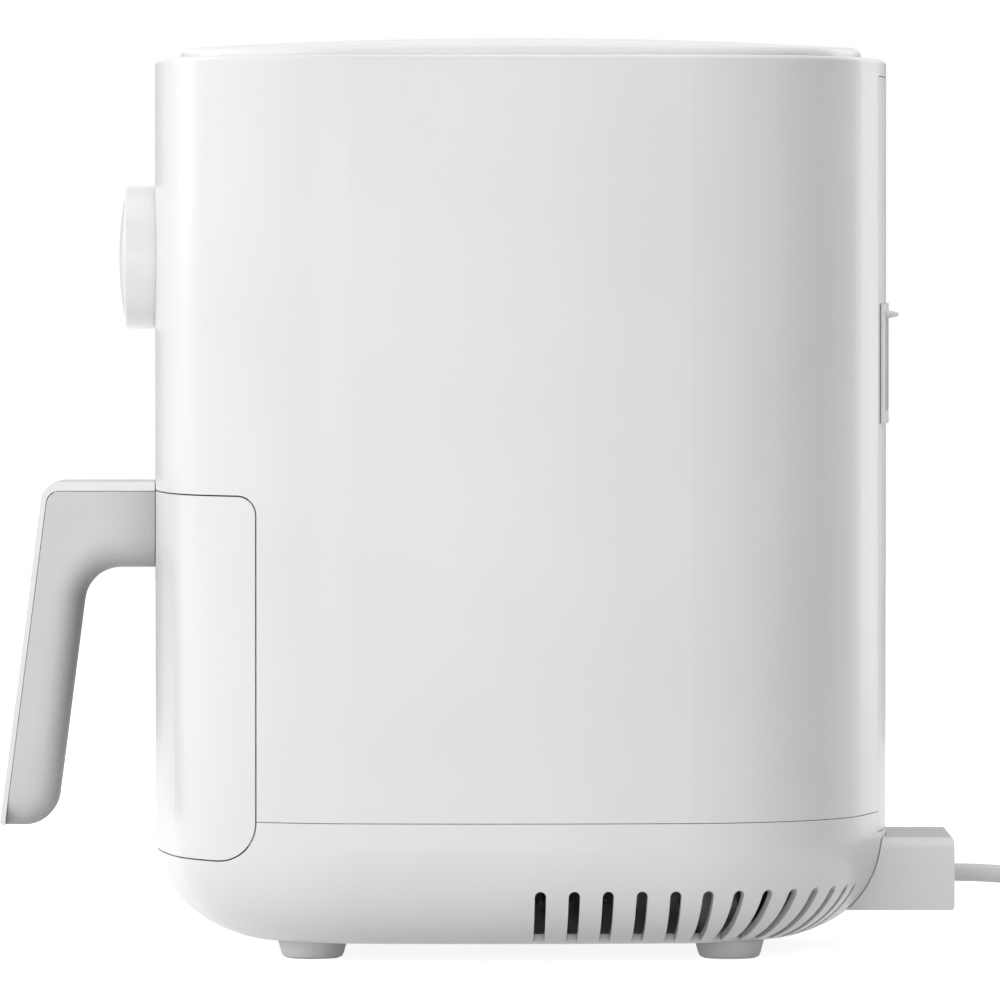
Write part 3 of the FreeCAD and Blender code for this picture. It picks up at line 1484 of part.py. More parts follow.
def coil_stations():
    """Places and directions at each half turn, then at the plug."""
    radius = value("coil_radius")
    pitch = value("coil_pitch")
    centre = Vector(-radius, value("coil_distance"), 0)
    stations = []
    for half, steps in enumerate(COIL_STEPS):
        level = coil_level if half <= 4 else coil_level + pitch
        reach = radius - steps * pitch / 2
        side = 1 if half % 2 == 0 else -1
        stations.append((centre + Vector(side * reach, 0, level), Vector(0, side, 0)))
    last = stations[-1][0]
    end = Vector(last.x, last.y + 46, value("plug_diameter / 2 + 0.2"))
    stations.append((end, Vector(0, 1, 0)))
    return stations


stations = coil_stations()
coil_path = []
for (first, first_way), (last, last_way) in zip(stations, stations[1:]):
    coil_path += biarc(first, first_way, last, last_way)
coil_solid = tube(coil_path, cord_radius, "cord_coil")
computed("cord_coil", coil_solid)
rings = [Part.Wire(coil_path[2 * k : 2 * k + 2]) for k in range(9)]
pairs = [(a, b) for a in range(9) for b in range(a + 2, 9)]
gaps = [rings[a].distToShape(rings[b])[0] - 2 * cord_radius for a, b in pairs]
print(f"cord_coil: least gap to itself {min(gaps):.2f}")

# Tie round the coil, plug and pins
tie_left = "-2 * coil_radius + coil_pitch / 2 - cord_r"
tie_right = "-2 * coil_radius + 2.5 * coil_pitch + cord_r"
tie_top = "coil_low + coil_pitch + cord_r"
tie_block = box(
    "tie_block",
    (f"{tie_left} - 1.7", f"{tie_right} + 1.7"),
    ("coil_distance - 5", "coil_distance + 5"),
    ("0.2", f"{tie_top} + 1.5"),
)
tie_hole = box(
    "tie_hole",
    (f"{tie_left} - 0.5", f"{tie_right} + 0.5"),
    ("coil_distance - 9", "coil_distance + 9"),
    ("1.3", f"{tie_top} + 0.3"),
)
node("cord_tie", cut("cord_tie", tie_block, tie_hole))
plug = turned(
    "plug_body",
    [
        ("0", "0"),
        ("cord_r + 1", "0"),
        ("cord_r + 3.4", "20"),
        ("plug_diameter / 2 - 6", "23"),
        ("plug_diameter / 2 - 1", "29"),
        ("plug_diameter / 2", "34"),
        ("plug_diameter / 2", "50"),
        ("plug_diameter / 2 - 1", "51.5"),
        ("0", "51.5"),
    ],
    "XY_Plane",
)
plug_x = "-coil_pitch / 2"
bind(plug, ".Placement.Base.x", plug_x)
bind(plug, ".Placement.Base.z", "plug_diameter / 2 + 0.2")
pin_holes = [
    rod(
        f"pin_hole{k}",
        "pin_diameter / 2 + 0.05",
        (f"{plug_x} + {side} * pin_spacing / 2", "plug_diameter / 2 + 0.2"),
        ("coil_distance + 46 + 40", "coil_distance + 46 + 60"),
        "y",
    )
    for k, side in enumerate((-1, 1))
]
bind(plug, ".Placement.Base.y", "coil_distance + 46")
node("plug_body", cut("plug_drilled", plug, *pin_holes))
pins = [
    rod(
        f"pin{k}",
        "pin_diameter / 2",
        (f"{plug_x} + {side} * pin_spacing / 2", "plug_diameter / 2 + 0.2"),
        ("coil_distance + 46 + 40.1", "coil_distance + 46 + 51.5 + pin_length"),
        "y",
    )
    for k, side in enumerate((-1, 1))
]
rounded_pins = [
    rounded(f"pin_round{k}", pin, (lambda e: e.CenterOfMass.y > value("coil_distance + 60 + 51"), "1.2"))
    for k, pin in enumerate(pins)
]
bare("plug_pins", *rounded_pins)

# Checks and export
doc.removeObject("Probe")
doc.recompute()
faults = []
for thing in doc.Objects:
    if any(word in ("Invalid", "Error") for word in thing.State):
        faults.append(f"{thing.Name}: {thing.State}")
for name, thing in NODES.items():
    if thing.Shape.isNull() or not thing.Shape.isValid() or not thing.Shape.Solids:
        faults.append(f"{name}: no valid solid")
if faults:
    raise RuntimeError("; ".join(faults))
os.makedirs("parts", exist_ok=True)
for name, thing in NODES.items():
    thing.Shape.exportStep(f"parts/{name}.step")
    extent = thing.Shape.BoundBox
    print(
        f"{name}: solids {len(thing.Shape.Solids)}, volume {thing.Shape.Volume:.0f}, "
        f"x {extent.XMin:.1f} {extent.XMax:.1f}, y {extent.YMin:.1f} {extent.YMax:.1f}, "
        f"z {extent.ZMin:.1f} {extent.ZMax:.1f}"
    )
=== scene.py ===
"""The look of a drawer hot-air fryer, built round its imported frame.

The frame gives every solid piece. This script adds the flexible cord, gives each
piece a node-based finish, and sets up a plain white studio with the camera at the side.
"""

import json
import logging
import math
from dataclasses import dataclass, field
from enum import Enum
from typing import Any, Dict, List, Optional, Tuple, Union

import bpy
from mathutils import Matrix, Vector

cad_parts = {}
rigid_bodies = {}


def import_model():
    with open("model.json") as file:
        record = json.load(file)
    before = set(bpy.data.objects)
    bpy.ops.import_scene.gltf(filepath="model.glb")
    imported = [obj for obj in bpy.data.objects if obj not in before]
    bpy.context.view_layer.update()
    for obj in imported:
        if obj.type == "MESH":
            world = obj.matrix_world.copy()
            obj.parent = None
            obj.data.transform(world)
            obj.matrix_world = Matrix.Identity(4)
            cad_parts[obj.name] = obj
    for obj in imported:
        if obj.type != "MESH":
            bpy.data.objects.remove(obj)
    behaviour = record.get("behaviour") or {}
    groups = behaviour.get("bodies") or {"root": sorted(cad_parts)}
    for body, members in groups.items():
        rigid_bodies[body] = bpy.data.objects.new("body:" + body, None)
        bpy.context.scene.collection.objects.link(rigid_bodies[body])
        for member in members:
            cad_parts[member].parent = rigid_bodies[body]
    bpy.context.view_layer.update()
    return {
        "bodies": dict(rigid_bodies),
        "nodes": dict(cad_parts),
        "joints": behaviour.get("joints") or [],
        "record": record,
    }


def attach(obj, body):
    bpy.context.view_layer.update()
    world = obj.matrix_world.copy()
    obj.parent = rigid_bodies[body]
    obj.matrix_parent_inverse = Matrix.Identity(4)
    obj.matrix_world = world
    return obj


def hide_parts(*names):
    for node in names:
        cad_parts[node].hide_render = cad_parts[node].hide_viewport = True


LOG = logging.getLogger("fryer")
SHELTER_SAMPLES = 4
FINE = 2.0
MIDDLING = 3.0
CLOUDY = 4.0

Point = Tuple[float, float, float]
Colour = Tuple[float, float, float]
Span = Tuple[float, float]
Frame = Dict[str, Any]
Socket = bpy.types.NodeSocket


class Pattern(Enum):
    """Which texture a node-based field is made from."""

    CLOUD = "ShaderNodeTexNoise"
    CELLS = "ShaderNodeTexVoronoi"
    BRICKS = "ShaderNodeTexBrick"


class Graph:
    """A node tree that ends in one shader.

    Args:
        owner: The material or world that the tree belongs to.
        shader: The name of the shader at the end.
    """

    def __init__(self, owner: Union[bpy.types.Material, bpy.types.World], shader: str) -> None:
        owner.use_nodes = True
        self.tree = owner.node_tree
        self.shader = self.tree.nodes[shader]

    def add(self, kind: str, values: Optional[Dict[str, Any]] = None) -> bpy.types.Node:
        """Adds a node.

        Args:
            kind: The node's type name.
            values: Socket values to set, or sockets to link, by socket name.

        Returns:
            The new node.
        """
        node = self.tree.nodes.new(kind)
        for name, value in (values or {}).items():
            self.feed(node.inputs[name], value)
        return node

    def feed(self, target: Socket, value: Union[Socket, float, Colour]) -> None:
        """Links a socket to another, or sets its value.

        Args:
            target: The input socket.
            value: An output socket, a number or a colour.
        """
        if isinstance(value, bpy.types.NodeSocket):
            self.tree.links.new(value, target)
        elif target.type == "RGBA":
            target.default_value = (*value, 1.0)
        else:
            target.default_value = value

    def set(self, name: str, value: Union[Socket, float, Colour]) -> None:
        """Sets one input of the shader at the end.

        Args:
            name: The input's name.
            value: An output socket, a number or a colour.
        """
        self.feed(self.shader.inputs[name], value)

    def spot(self, stretch: Point) -> Socket:
        """The piece's own coordinates, stretched.

        Args:
            stretch: Factor along each axis.

        Returns:
            A vector socket.
        """
        place = self.add("ShaderNodeTexCoord").outputs["Object"]
        mapping = self.add("ShaderNodeMapping", {"Vector": place, "Scale": stretch})
        return mapping.outputs["Vector"]

    def noise(self, scale: float, detail: float = FINE, stretch: Point = (1, 1, 1)) -> Socket:
        """Soft noise from 0 to 1.

        Args:
            scale: Blotches per metre.
            detail: Octaves.
            stretch: Factor along each axis.

        Returns:
            A value socket.
        """
        values = {"Vector": self.spot(stretch), "Scale": scale, "Detail": detail}
        return self.add(Pattern.CLOUD.value, values).outputs["Fac"]

    def cells(self, scale: float, stretch: Point = (1, 1, 1)) -> Socket:
        """Distance to the nearest of many scattered points.

        Args:
            scale: Cells per metre.
            stretch: Factor along each axis.

        Returns:
            A value socket.
        """
        values = {"Vector": self.spot(stretch), "Scale": scale}
        return self.add(Pattern.CELLS.value, values).outputs["Distance"]

    def bricks(self, scale: float, gap: float) -> Socket:
        """Rows of staggered rectangles with gaps.

        Args:
            scale: Rows per metre.
            gap: Width of the gap, as a share of a brick.

        Returns:
            A value socket: 1 in the gaps and 0 in the rectangles.
        """
        values = {"Vector": self.spot((1, 1, 1)), "Scale": scale, "Mortar Size": gap}
        return self.add(Pattern.BRICKS.value, values).outputs["Fac"]

    def ramp(self, factor: Socket, tones: Tuple[Colour, Colour], limits: Span = (0.3, 0.7)) -> Socket:
        """A colour that goes from one tone to another.

        Args:
            factor: What drives it.
            tones: The colours at the two limits.
            limits: The values of the factor where each tone is reached.

        Returns:
            A colour socket.
        """
        node = self.add("ShaderNodeValToRGB", {"Fac": factor})
        for element, tone, limit in zip(node.color_ramp.elements, tones, limits):
            element.position = limit
            element.color = (*tone, 1.0)
        return node.outputs["Color"]

    def span(self, factor: Socket, ends: Span, limits: Span = (0.3, 0.7)) -> Socket:
        """A number that goes from one value to another.

        Args:
            factor: What drives it.
            ends: The values at the two limits.
            limits: The values of the factor where each end is reached.

        Returns:
            A value socket.
        """
        values = {
            "Value": factor,
            "From Min": limits[0],
            "From Max": limits[1],
            "To Min": ends[0],
            "To Max": ends[1],
        }
        return self.add("ShaderNodeMapRange", values).outputs["Result"]

    def soft_edge(self, radius: float) -> Socket:
        """A normal that rounds sharp edges.

        Args:
            radius: The edge's radius in metres.

        Returns:
            A normal socket.
        """
        node = self.add("ShaderNodeBevel", {"Radius": radius})
        return node.outputs["Normal"]

    def shelter(self, reach: float, limits: Span, local: bool = True) -> Socket:
        """How open a place is, used as the mask for painted shade: 0 deep inside a gap and 1 in the open.

        Args:
            reach: How far away other surfaces count, in metres.
            limits: The open shares that give 0 and 1.
            local: Whether only the piece's own surfaces count.

        Returns:
            A value socket.
        """
        node = self.add("ShaderNodeAmbientOcclusion", {"Distance": reach})
        node.samples = SHELTER_SAMPLES
        node.only_local = local
        return self.span(node.outputs["AO"], (0.0, 1.0), limits)

    def shade(self, colour: Socket, dark: Colour, factor: Socket) -> Socket:
        """A colour that goes dark where a factor is 0, which paints shade into a surface.

        Args:
            colour: The colour in the open.
            dark: The colour where the factor is 0.
            factor: What drives it.

        Returns:
            A colour socket.
        """
        node = self.add("ShaderNodeMix")
        node.data_type = "RGBA"
        colours = [socket for socket in node.inputs if socket.type == "RGBA"]
        self.feed(node.inputs["Factor"], factor)
        self.feed(colours[0], dark)
        self.feed(colours[1], colour)
        return [socket for socket in node.outputs if socket.type == "RGBA"][0]

    def relief(self, height: Socket, depth: float, normal: Socket) -> Socket:
        """A normal that follows a height.

        Args:
            height: What drives it, from 0 to 1.
            depth: Metres from lowest to highest.
            normal: The normal that it is laid on.

        Returns:
            A normal socket.
        """
        values = {"Height": height, "Distance": depth, "Normal": normal}
        return self.add("ShaderNodeBump", values).outputs["Normal"]


@dataclass(frozen=True)
class Finish:
    """What every finish has: a name and two tones that it drifts between."""

    name: str
    tones: Tuple[Colour, Colour]
    rough: Span = (0.28, 0.36)
    edge: float = 0.0003

    def material(self) -> bpy.types.Material:
        """Makes the finish's material.

        Returns:
            The material.
        """
        material = bpy.data.materials.new(self.name)
        self.fill(Graph(material, "Principled BSDF"))
        return material

    def fill(self, graph: Graph) -> None:
        """Fills the tree.

        Args:
            graph: The tree to fill.
        """
        raise NotImplementedError


@dataclass(frozen=True)
class Moulded(Finish):
    """Injection-moulded plastic: cloudy tone, a fine skin, a soft gloss, and painted shade near black
    deep in its own gaps.
    """

    cloud_scale: float = 18.0
    skin_scale: float = 1500.0
    skin_depth: float = 0.000006
    gloss: float = 0.06
    gloss_rough: float = 0.12
    # Near-black colour of the painted shade in the piece's own gaps, slots and seams.
    gap_shade: Colour = (0.012, 0.012, 0.012)
    gap_reach: float = 0.05
    gap_limits: Span = (0.22, 0.5)

    def fill(self, graph: Graph) -> None:
        """Fills the tree.

        Args:
            graph: The tree to fill.
        """
        cloud = graph.noise(self.cloud_scale, CLOUDY)
        skin = graph.noise(self.skin_scale, FINE)
        # Painted shade: where the piece's own surfaces close in, the base colour is darkened towards near
        # black.
        open_share = graph.shelter(self.gap_reach, self.gap_limits)
        graph.set("Base Color", graph.shade(graph.ramp(cloud, self.tones), self.gap_shade, open_share))
        graph.set("Roughness", graph.span(skin, self.rough))
        graph.set("Coat Weight", self.gloss)
        graph.set("Coat Roughness", self.gloss_rough)
        graph.set("Normal", graph.relief(skin, self.skin_depth, graph.soft_edge(self.edge)))


@dataclass(frozen=True)
class Grained(Finish):
    """Plastic or rubber from an etched mould: a matt grain of small cells, with painted shade where other
    surfaces close in.
    """

    grain_scale: float = 2600.0
    grain_depth: float = 0.00003
    grain_limits: Span = (0.1, 0.6)
    cloud_scale: float = 40.0
    # How dark the painted shade gets where other surfaces close in, as a share of the darker tone; 1
    # leaves just the darker tone.
    painted_shade_factor: float = 1.0
    corner_reach: float = 0.06
    corner_limits: Span = (0.3, 0.75)

    def fill(self, graph: Graph) -> None:
        """Fills the tree.

        Args:
            graph: The tree to fill.
        """
        grain = graph.cells(self.grain_scale)
        cloud = graph.noise(self.cloud_scale, CLOUDY)
        # Painted shade: near other surfaces, such as the grip's inner side facing the drawer front, the
        # base colour is darkened.
        open_share = graph.shelter(self.corner_reach, self.corner_limits, local=False)
        painted_shade_tone = tuple(level * self.painted_shade_factor for level in self.tones[0])
        graph.set("Base Color", graph.shade(graph.ramp(cloud, self.tones), painted_shade_tone, open_share))
        graph.set("Roughness", graph.span(grain, self.rough, self.grain_limits))
        graph.set("Normal", graph.relief(grain, self.grain_depth, graph.soft_edge(self.edge)))


@dataclass(frozen=True)
class Brushed(Finish):
    """Bare metal with fine rolling or drawing lines."""

    stretch: Point = (1.0, 1.0, 30.0)
    line_scale: float = 160.0
    line_depth: float = 0.000008
    tarnish_scale: float = 35.0

    def fill(self, graph: Graph) -> None:
        """Fills the tree.

        Args:
            graph: The tree to fill.
        """
        lines = graph.noise(self.line_scale, MIDDLING, self.stretch)
        tarnish = graph.noise(self.tarnish_scale, CLOUDY)
        graph.set("Metallic", 1.0)
        graph.set("Base Color", graph.ramp(tarnish, self.tones))
        graph.set("Roughness", graph.span(lines, self.rough))
        graph.set("Normal", graph.relief(lines, self.line_depth, graph.soft_edge(self.edge)))


@dataclass(frozen=True)
class Speckled(Finish):
    """Sprayed non-stick coat: dark, with fine paler flecks."""

    fleck_scale: float = 900.0
    fleck_size: Span = (0.12, 0.2)
    spray_scale: float = 1100.0
    coat_depth: float = 0.00002

    def fill(self, graph: Graph) -> None:
        """Fills the tree.

        Args:
            graph: The tree to fill.
        """
        flecks = graph.cells(self.fleck_scale)
        spray = graph.noise(self.spray_scale, MIDDLING)
        pale_first = (self.tones[1], self.tones[0])
        graph.set("Base Color", graph.ramp(flecks, pale_first, self.fleck_size))
        graph.set("Roughness", graph.span(spray, self.rough))
        graph.set("Normal", graph.relief(spray, self.coat_depth, graph.soft_edge(self.edge)))


@dataclass(frozen=True)
class Laminate(Finish):
    """Circuit board: a lacquered sheet with rows of tracks."""

    rows: float = 90.0
    track: float = 0.05
    track_depth: float = 0.00004
    track_limits: Span = (0.2, 0.8)
    weave_scale: float = 700.0

    def fill(self, graph: Graph) -> None:
        """Fills the tree.

        Args:
            graph: The tree to fill.
        """
        tracks = graph.bricks(self.rows, self.track)
        weave = graph.noise(self.weave_scale, FINE)
        graph.set("Base Color", graph.ramp(tracks, self.tones, self.track_limits))
        graph.set("Roughness", graph.span(weave, self.rough))
        graph.set("Normal", graph.relief(tracks, self.track_depth, graph.soft_edge(self.edge)))


def grey(level: float, tint: float = 0.0) -> Colour:
    """A grey, warmer where the tint is above zero and cooler below.

    Args:
        level: Brightness from 0 to 1.
        tint: How much red is added and blue is taken off.

    Returns:
        The colour.
    """
    return (level + tint, level, level - tint)


FINISHES: Dict[str, Finish] = {
    "white_shell": Moulded("white_shell", (grey(0.80), grey(0.83))),
    "white_trim": Moulded("white_trim", (grey(0.82), grey(0.85))),
    # The grip's painted shade darkens its sheltered inner side and underside to 0.3 of its darker tone.
    "grey_grip": Grained("grey_grip", (grey(0.66, -0.004), grey(0.70, -0.004)), (0.5, 0.62), painted_shade_factor=0.3),
    "foot_plastic": Grained("foot_plastic", (grey(0.84), grey(0.88)), (0.5, 0.65)),
    "cord_jacket": Moulded("cord_jacket", (grey(0.72), grey(0.77)), (0.38, 0.48), skin_scale=900.0),
    "dark_nonstick": Speckled("dark_nonstick", (grey(0.018), grey(0.16)), (0.34, 0.46)),
    "silicone": Grained("silicone", (grey(0.03), grey(0.045)), (0.55, 0.7)),
    "sheet_steel": Brushed("sheet_steel", (grey(0.50), grey(0.60, 0.01)), (0.28, 0.42)),
    "heater_steel": Brushed("heater_steel", (grey(0.16, 0.01), grey(0.30, 0.03)), (0.35, 0.5)),
    "aluminium_fan": Brushed("aluminium_fan", (grey(0.66), grey(0.74)), (0.25, 0.38)),
    "screw_steel": Brushed("screw_steel", (grey(0.42), grey(0.55)), (0.22, 0.36)),
    "circuit_board": Laminate("circuit_board", ((0.01, 0.11, 0.045), (0.05, 0.24, 0.10)), (0.25, 0.4)),
    "dark_plastic": Grained("dark_plastic", (grey(0.03), grey(0.05)), (0.45, 0.6)),
    "pin_brass": Brushed("pin_brass", ((0.66, 0.62, 0.54), (0.75, 0.71, 0.63)), (0.2, 0.32)),
}


class Paintbox:
    """Gives each piece the finish of its material slot, made once.

    Args:
        frame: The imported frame.
    """

    def __init__(self, frame: Frame) -> None:
        self.nodes = frame["nodes"]
        subparts = frame["record"]["subparts"]
        self.slots = {part["node"]: part["material_slot"] for part in subparts}
        self.materials: Dict[str, bpy.types.Material] = {}

    def paint(self, piece: bpy.types.Object, slot: str) -> None:
        """Puts a slot's material on a piece.

        Args:
            piece: A mesh or a curve.
            slot: The record's material slot.
        """
        if slot not in self.materials:
            self.materials[slot] = FINISHES[slot].material()
        piece.data.materials.clear()
        piece.data.materials.append(self.materials[slot])

    def paint_node(self, name: str) -> None:
        """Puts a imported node's own finish on it.

        Args:
            name: The node's name.
        """
        self.paint(self.nodes[name], self.slots[name])


@dataclass
class Assembly:
    """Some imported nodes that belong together.

    Args:
        frame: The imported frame.
        paints: Where finishes come from.
    """

    frame: Frame
    paints: Paintbox
    nodes: Tuple[str, ...] = ()

    def build(self) -> List[bpy.types.Object]:
        """Makes the pieces that the frame doesn't have.

        Returns:
            The new pieces.
        """
        return []

    def dress(self) -> None:
        """Gives every node its finish."""
        for name in self.nodes:
            self.paints.paint_node(name)


@dataclass
class Shell(Assembly):
    """Outer mouldings, feet and the rear grille."""

    nodes: Tuple[str, ...] = (
        "outer_housing",
        "top_cover",
        "base_cover",
        "base_screws",
        "feet",
        "rear_panel",
        "exhaust_grille",
    )


@dataclass
class Drawer(Assembly):
    """Drawer front with its handle, the pan behind it and the tray in the pan."""

    nodes: Tuple[str, ...] = (
        "drawer_front",
        "drawer_plate",
        "plate_screws",
        "handle_grip",
        "handle_cover",
        "handle_screws",
        "pan",
        "pan_bracket",
        "pan_screws",
        "crisper_tray",
        "tray_bumpers",
    )


@dataclass
class Controls(Assembly):
    """Knob, its encoder and board, and the switch that the drawer presses."""

    nodes: Tuple[str, ...] = (
        "knob_body",
        "knob_cap",
        "encoder_shaft",
        "encoder_body",
        "control_board",
        "drawer_switch",
        "switch_plunger",
    )


@dataclass
class HotChamber(Assembly):
    """Lined chamber with its rails, heater, fans, motor and air duct."""

    nodes: Tuple[str, ...] = (
        "chamber_liner",
        "drawer_rails",
        "exhaust_duct",
        "heat_shield",
        "motor_bracket",
        "motor_body",
        "motor_shaft",
        "convection_fan",
        "cooling_fan",
        "fan_nut",
        "heater_guard",
        "heater_clips",
        "temperature_sensor",
        "heating_element",
    )


@dataclass
class Mains(Assembly):
    """Cord box with its fittings, and the cord with its coil, tie and plug."""

    nodes: Tuple[str, ...] = (
        "cord_box",
        "cord_box_screws",
        "cord_grommet",
        "cord_clamp",
        "inner_lead",
        "terminal_block",
        "power_board",
        "cord_tie",
        "plug_body",
        "plug_pins",
    )
    diameter: float = 0.0062
    length: float = 1.0745
    exit: Point = (0.0, 0.1612, 0.0244)
    route: Tuple[Point, ...] = (
        (0.0, 0.1612, 0.0244),
        (0.0, 0.1972, 0.0244),
        (0.0, 0.2432, 0.0047),
        (0.0, 0.2732, 0.0047),
    )
    coil_centre: Point = (-0.045, 0.2732, 0.0)
    coil_radius: float = 0.045
    coil_pitch: float = 0.0034
    coil_steps: Tuple[int, ...] = (0, 1, 2, 3, 4, 5, 3, 2, 1)
    climb_after: int = 4
    coil_levels: Span = (0.0047, 0.0115)
    points_per_half: int = 7
    round_steps: int = 6
    length_steps: int = 8
    tail: Tuple[Point, ...] = (
        (-0.0034, 0.2872, 0.0115),
        (-0.0034, 0.3042, 0.0182),
        (-0.0034, 0.3192, 0.0182),
    )

    def coil_points(self) -> List[Point]:
        """Control points of the coil's turns.

        Returns:
            The points, from the outside of the lower layer to the outside of the upper one.
        """
        points = []
        half_step = math.pi / self.points_per_half / 2
        swell = 1 / math.cos(half_step)
        for half, (first, last) in enumerate(zip(self.coil_steps, self.coil_steps[1:])):
            low = self.coil_levels[half > self.climb_after]
            high = self.coil_levels[half >= self.climb_after]
            for index in range(self.points_per_half):
                share = (index + 0.5) / self.points_per_half
                reach = self.coil_radius - self.coil_pitch * (first + (last - first) * share)
                angle = math.pi * (half + share)
                x = self.coil_centre[0] + reach * swell * math.cos(angle)
                y = self.coil_centre[1] + reach * swell * math.sin(angle)
                ease = share * share * (3 - 2 * share)
                points.append((x, y, low + (high - low) * ease))
        return points

    def build(self) -> List[bpy.types.Object]:
        """Makes the cord as one smooth line from the cord box to the plug.

        Returns:
            The cord.
        """
        points = [*self.route, *self.coil_points(), *self.tail]
        curve = bpy.data.curves.new("flex_cord", "CURVE")
        curve.dimensions = "3D"
        curve.bevel_depth = self.diameter / 2
        curve.bevel_resolution = self.round_steps
        curve.resolution_u = self.length_steps
        curve.use_fill_caps = True
        spline = curve.splines.new("NURBS")
        spline.points.add(len(points) - 1)
        for target, point in zip(spline.points, points):
            target.co = (*point, 1.0)
        spline.order_u = 3
        spline.use_endpoint_u = True
        flex = bpy.data.objects.new("flex_cord", curve)
        bpy.context.scene.collection.objects.link(flex)
        self.paints.paint(flex, "cord_jacket")
        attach(flex, "body")
        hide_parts("mains_cord", "cord_coil")
        return [flex]


@dataclass(frozen=True)
class Lamp:
    """A soft rectangular light that looks at the middle of the body."""

    name: str
    place: Point
    size: Span
    power: float
    aim: Point = (0.0, 0.0, 0.15)

    def build(self) -> bpy.types.Object:
        """Makes the light.

        Returns:
            The light.
        """
        light = bpy.data.lights.new(self.name, "AREA")
        light.shape = "RECTANGLE"
        light.size, light.size_y = self.size
        light.energy = self.power
        lamp = bpy.data.objects.new(self.name, light)
        lamp.location = self.place
        turn_towards(lamp, self.aim)
        bpy.context.scene.collection.objects.link(lamp)
        return lamp


@dataclass(frozen=True)
class Flag:
    """An upright dark card, out of sight, that shades one side and the gloss near the outline."""

    name: str
    first: Span
    last: Span
    height: float = 1.2
    tone: float = 0.02

    def build(self) -> bpy.types.Object:
        """Makes the card.

        Returns:
            The card.
        """
        corners = [(x, y, z) for z in (0.0, self.height) for x, y in (self.first, self.last)]
        mesh = bpy.data.meshes.new(self.name)
        mesh.from_pydata(corners, [], [(0, 1, 3, 2)])
        card = bpy.data.objects.new(self.name, mesh)
        bpy.context.scene.collection.objects.link(card)
        material = bpy.data.materials.new(self.name)
        graph = Graph(material, "Principled BSDF")
        graph.set("Base Color", grey(self.tone))
        graph.set("Roughness", 1.0)
        graph.set("Specular IOR Level", 0.0)
        mesh.materials.append(material)
        card.visible_camera = False
        card.visible_shadow = False
        return card


def turn_towards(thing: bpy.types.Object, aim: Point) -> None:
    """Turns a light or a camera to look at a place.

    Args:
        thing: The light or camera.
        aim: What it looks at.
    """
    way = Vector(aim) - thing.location
    thing.rotation_euler = way.to_track_quat("-Z", "Y").to_euler()


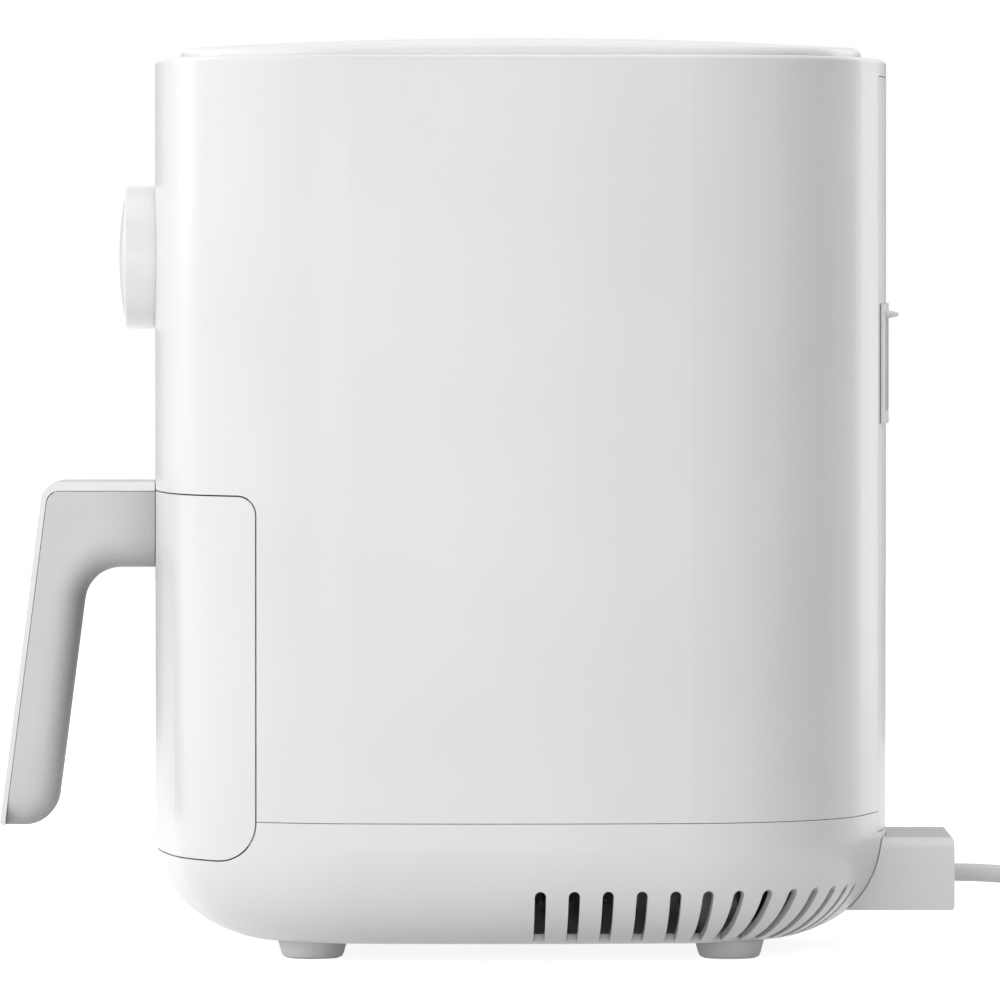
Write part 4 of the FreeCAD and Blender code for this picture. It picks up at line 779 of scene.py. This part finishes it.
@dataclass
class Studio:
    """White room, soft lights and the camera."""

    eye: Point = (3.531, 0.0082, 0.232)
    aim: Point = (0.0, 0.0082, 0.151)
    lens: float = 374.0
    farthest: float = 50.0
    floor_half: float = 4.0
    floor_tone: float = 0.7
    floor_rough: float = 0.9
    floor_glow: float = 0.85
    fill_level: float = 0.64
    lamps: Tuple[Lamp, ...] = field(
        default_factory=lambda: (
            Lamp("edge_lamp", (-1.3, -1.7, 0.9), (0.8, 1.4), 7.5),
            Lamp("front_lamp", (0.6, -2.6, 1.2), (2.6, 2.0), 20.5),
            Lamp("key_lamp", (2.3, -1.9, 1.1), (1.8, 1.8), 7.5),
            Lamp("low_lamp", (2.6, -0.5, 0.2), (1.6, 0.3), 7.5),
            Lamp("top_lamp", (0.0, 0.4, 2.4), (1.6, 1.6), 11.0),
            Lamp("rim_lamp", (-1.75, 1.1, 0.6), (0.9, 1.4), 3.6),
        )
    )
    flags: Tuple[Flag, ...] = field(
        default_factory=lambda: (
            Flag("back_flag", (-1.5, -0.6), (-1.5, 0.64), 0.42),
            Flag("low_flag", (0.35, 0.45), (0.0, 0.45), 0.08),
            Flag("rear_flag", (0.6, 1.5), (-0.35, 1.5)),
        )
    )

    def build(self) -> None:
        """Makes the whole studio."""
        self.lay_floor()
        self.light_world()
        for thing in (*self.lamps, *self.flags):
            thing.build()
        self.place_camera()
        bpy.context.scene.view_settings.view_transform = "Standard"

    def lay_floor(self) -> None:
        """A pale floor that is white to the camera and keeps the shadow."""
        half = self.floor_half
        corners = [(-half, -half, 0), (half, -half, 0), (half, half, 0), (-half, half, 0)]
        mesh = bpy.data.meshes.new("floor")
        mesh.from_pydata(corners, [], [(0, 1, 2, 3)])
        floor = bpy.data.objects.new("floor", mesh)
        bpy.context.scene.collection.objects.link(floor)
        material = bpy.data.materials.new("floor")
        graph = Graph(material, "Principled BSDF")
        graph.set("Base Color", grey(self.floor_tone))
        graph.set("Roughness", self.floor_rough)
        graph.set("Specular IOR Level", 0.0)
        graph.set("Emission Color", grey(1.0))
        graph.set("Emission Strength", self.seen(graph, (0.0, self.floor_glow)))
        mesh.materials.append(material)

    @staticmethod
    def seen(graph: Graph, ends: Span) -> Socket:
        """A strength that differs where the camera looks, directly or in a reflection.

        Args:
            graph: The tree to add to.
            ends: The strength as a light, and as something seen.

        Returns:
            A value socket.
        """
        path = graph.add("ShaderNodeLightPath")
        total = path.outputs["Is Camera Ray"]
        for ray in ("Is Glossy Ray", "Is Transmission Ray"):
            both = graph.add("ShaderNodeMath")
            both.operation = "MAXIMUM"
            graph.feed(both.inputs[0], total)
            graph.feed(both.inputs[1], path.outputs[ray])
            total = both.outputs[0]
        return graph.span(total, ends, (0.0, 1.0))

    def light_world(self) -> None:
        """White where it is seen, and a plain soft fill as a light."""
        world = bpy.data.worlds.new("white_room")
        graph = Graph(world, "Background")
        graph.set("Color", grey(1.0))
        graph.set("Strength", self.seen(graph, (self.fill_level, 1.0)))
        bpy.context.scene.world = world

    def place_camera(self) -> None:
        """The camera, level with the body's middle and far to its side."""
        camera = bpy.data.cameras.new("camera")
        camera.lens = self.lens
        camera.clip_end = self.farthest
        eye = bpy.data.objects.new("camera", camera)
        eye.location = self.eye
        turn_towards(eye, self.aim)
        bpy.context.scene.collection.objects.link(eye)
        bpy.context.scene.camera = eye


def main() -> None:
    """Builds the object and the studio in order."""
    logging.basicConfig(level=logging.INFO, format="%(message)s")
    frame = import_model()
    paints = Paintbox(frame)
    for kind in (Mains, Shell, Drawer, Controls, HotChamber):
        assembly = kind(frame, paints)
        made = assembly.build()
        assembly.dress()
        LOG.info("%s: %d packed nodes, %d new pieces", kind.__name__, len(assembly.nodes), len(made))
    Studio().build()


if __name__ == "__main__":
    main()
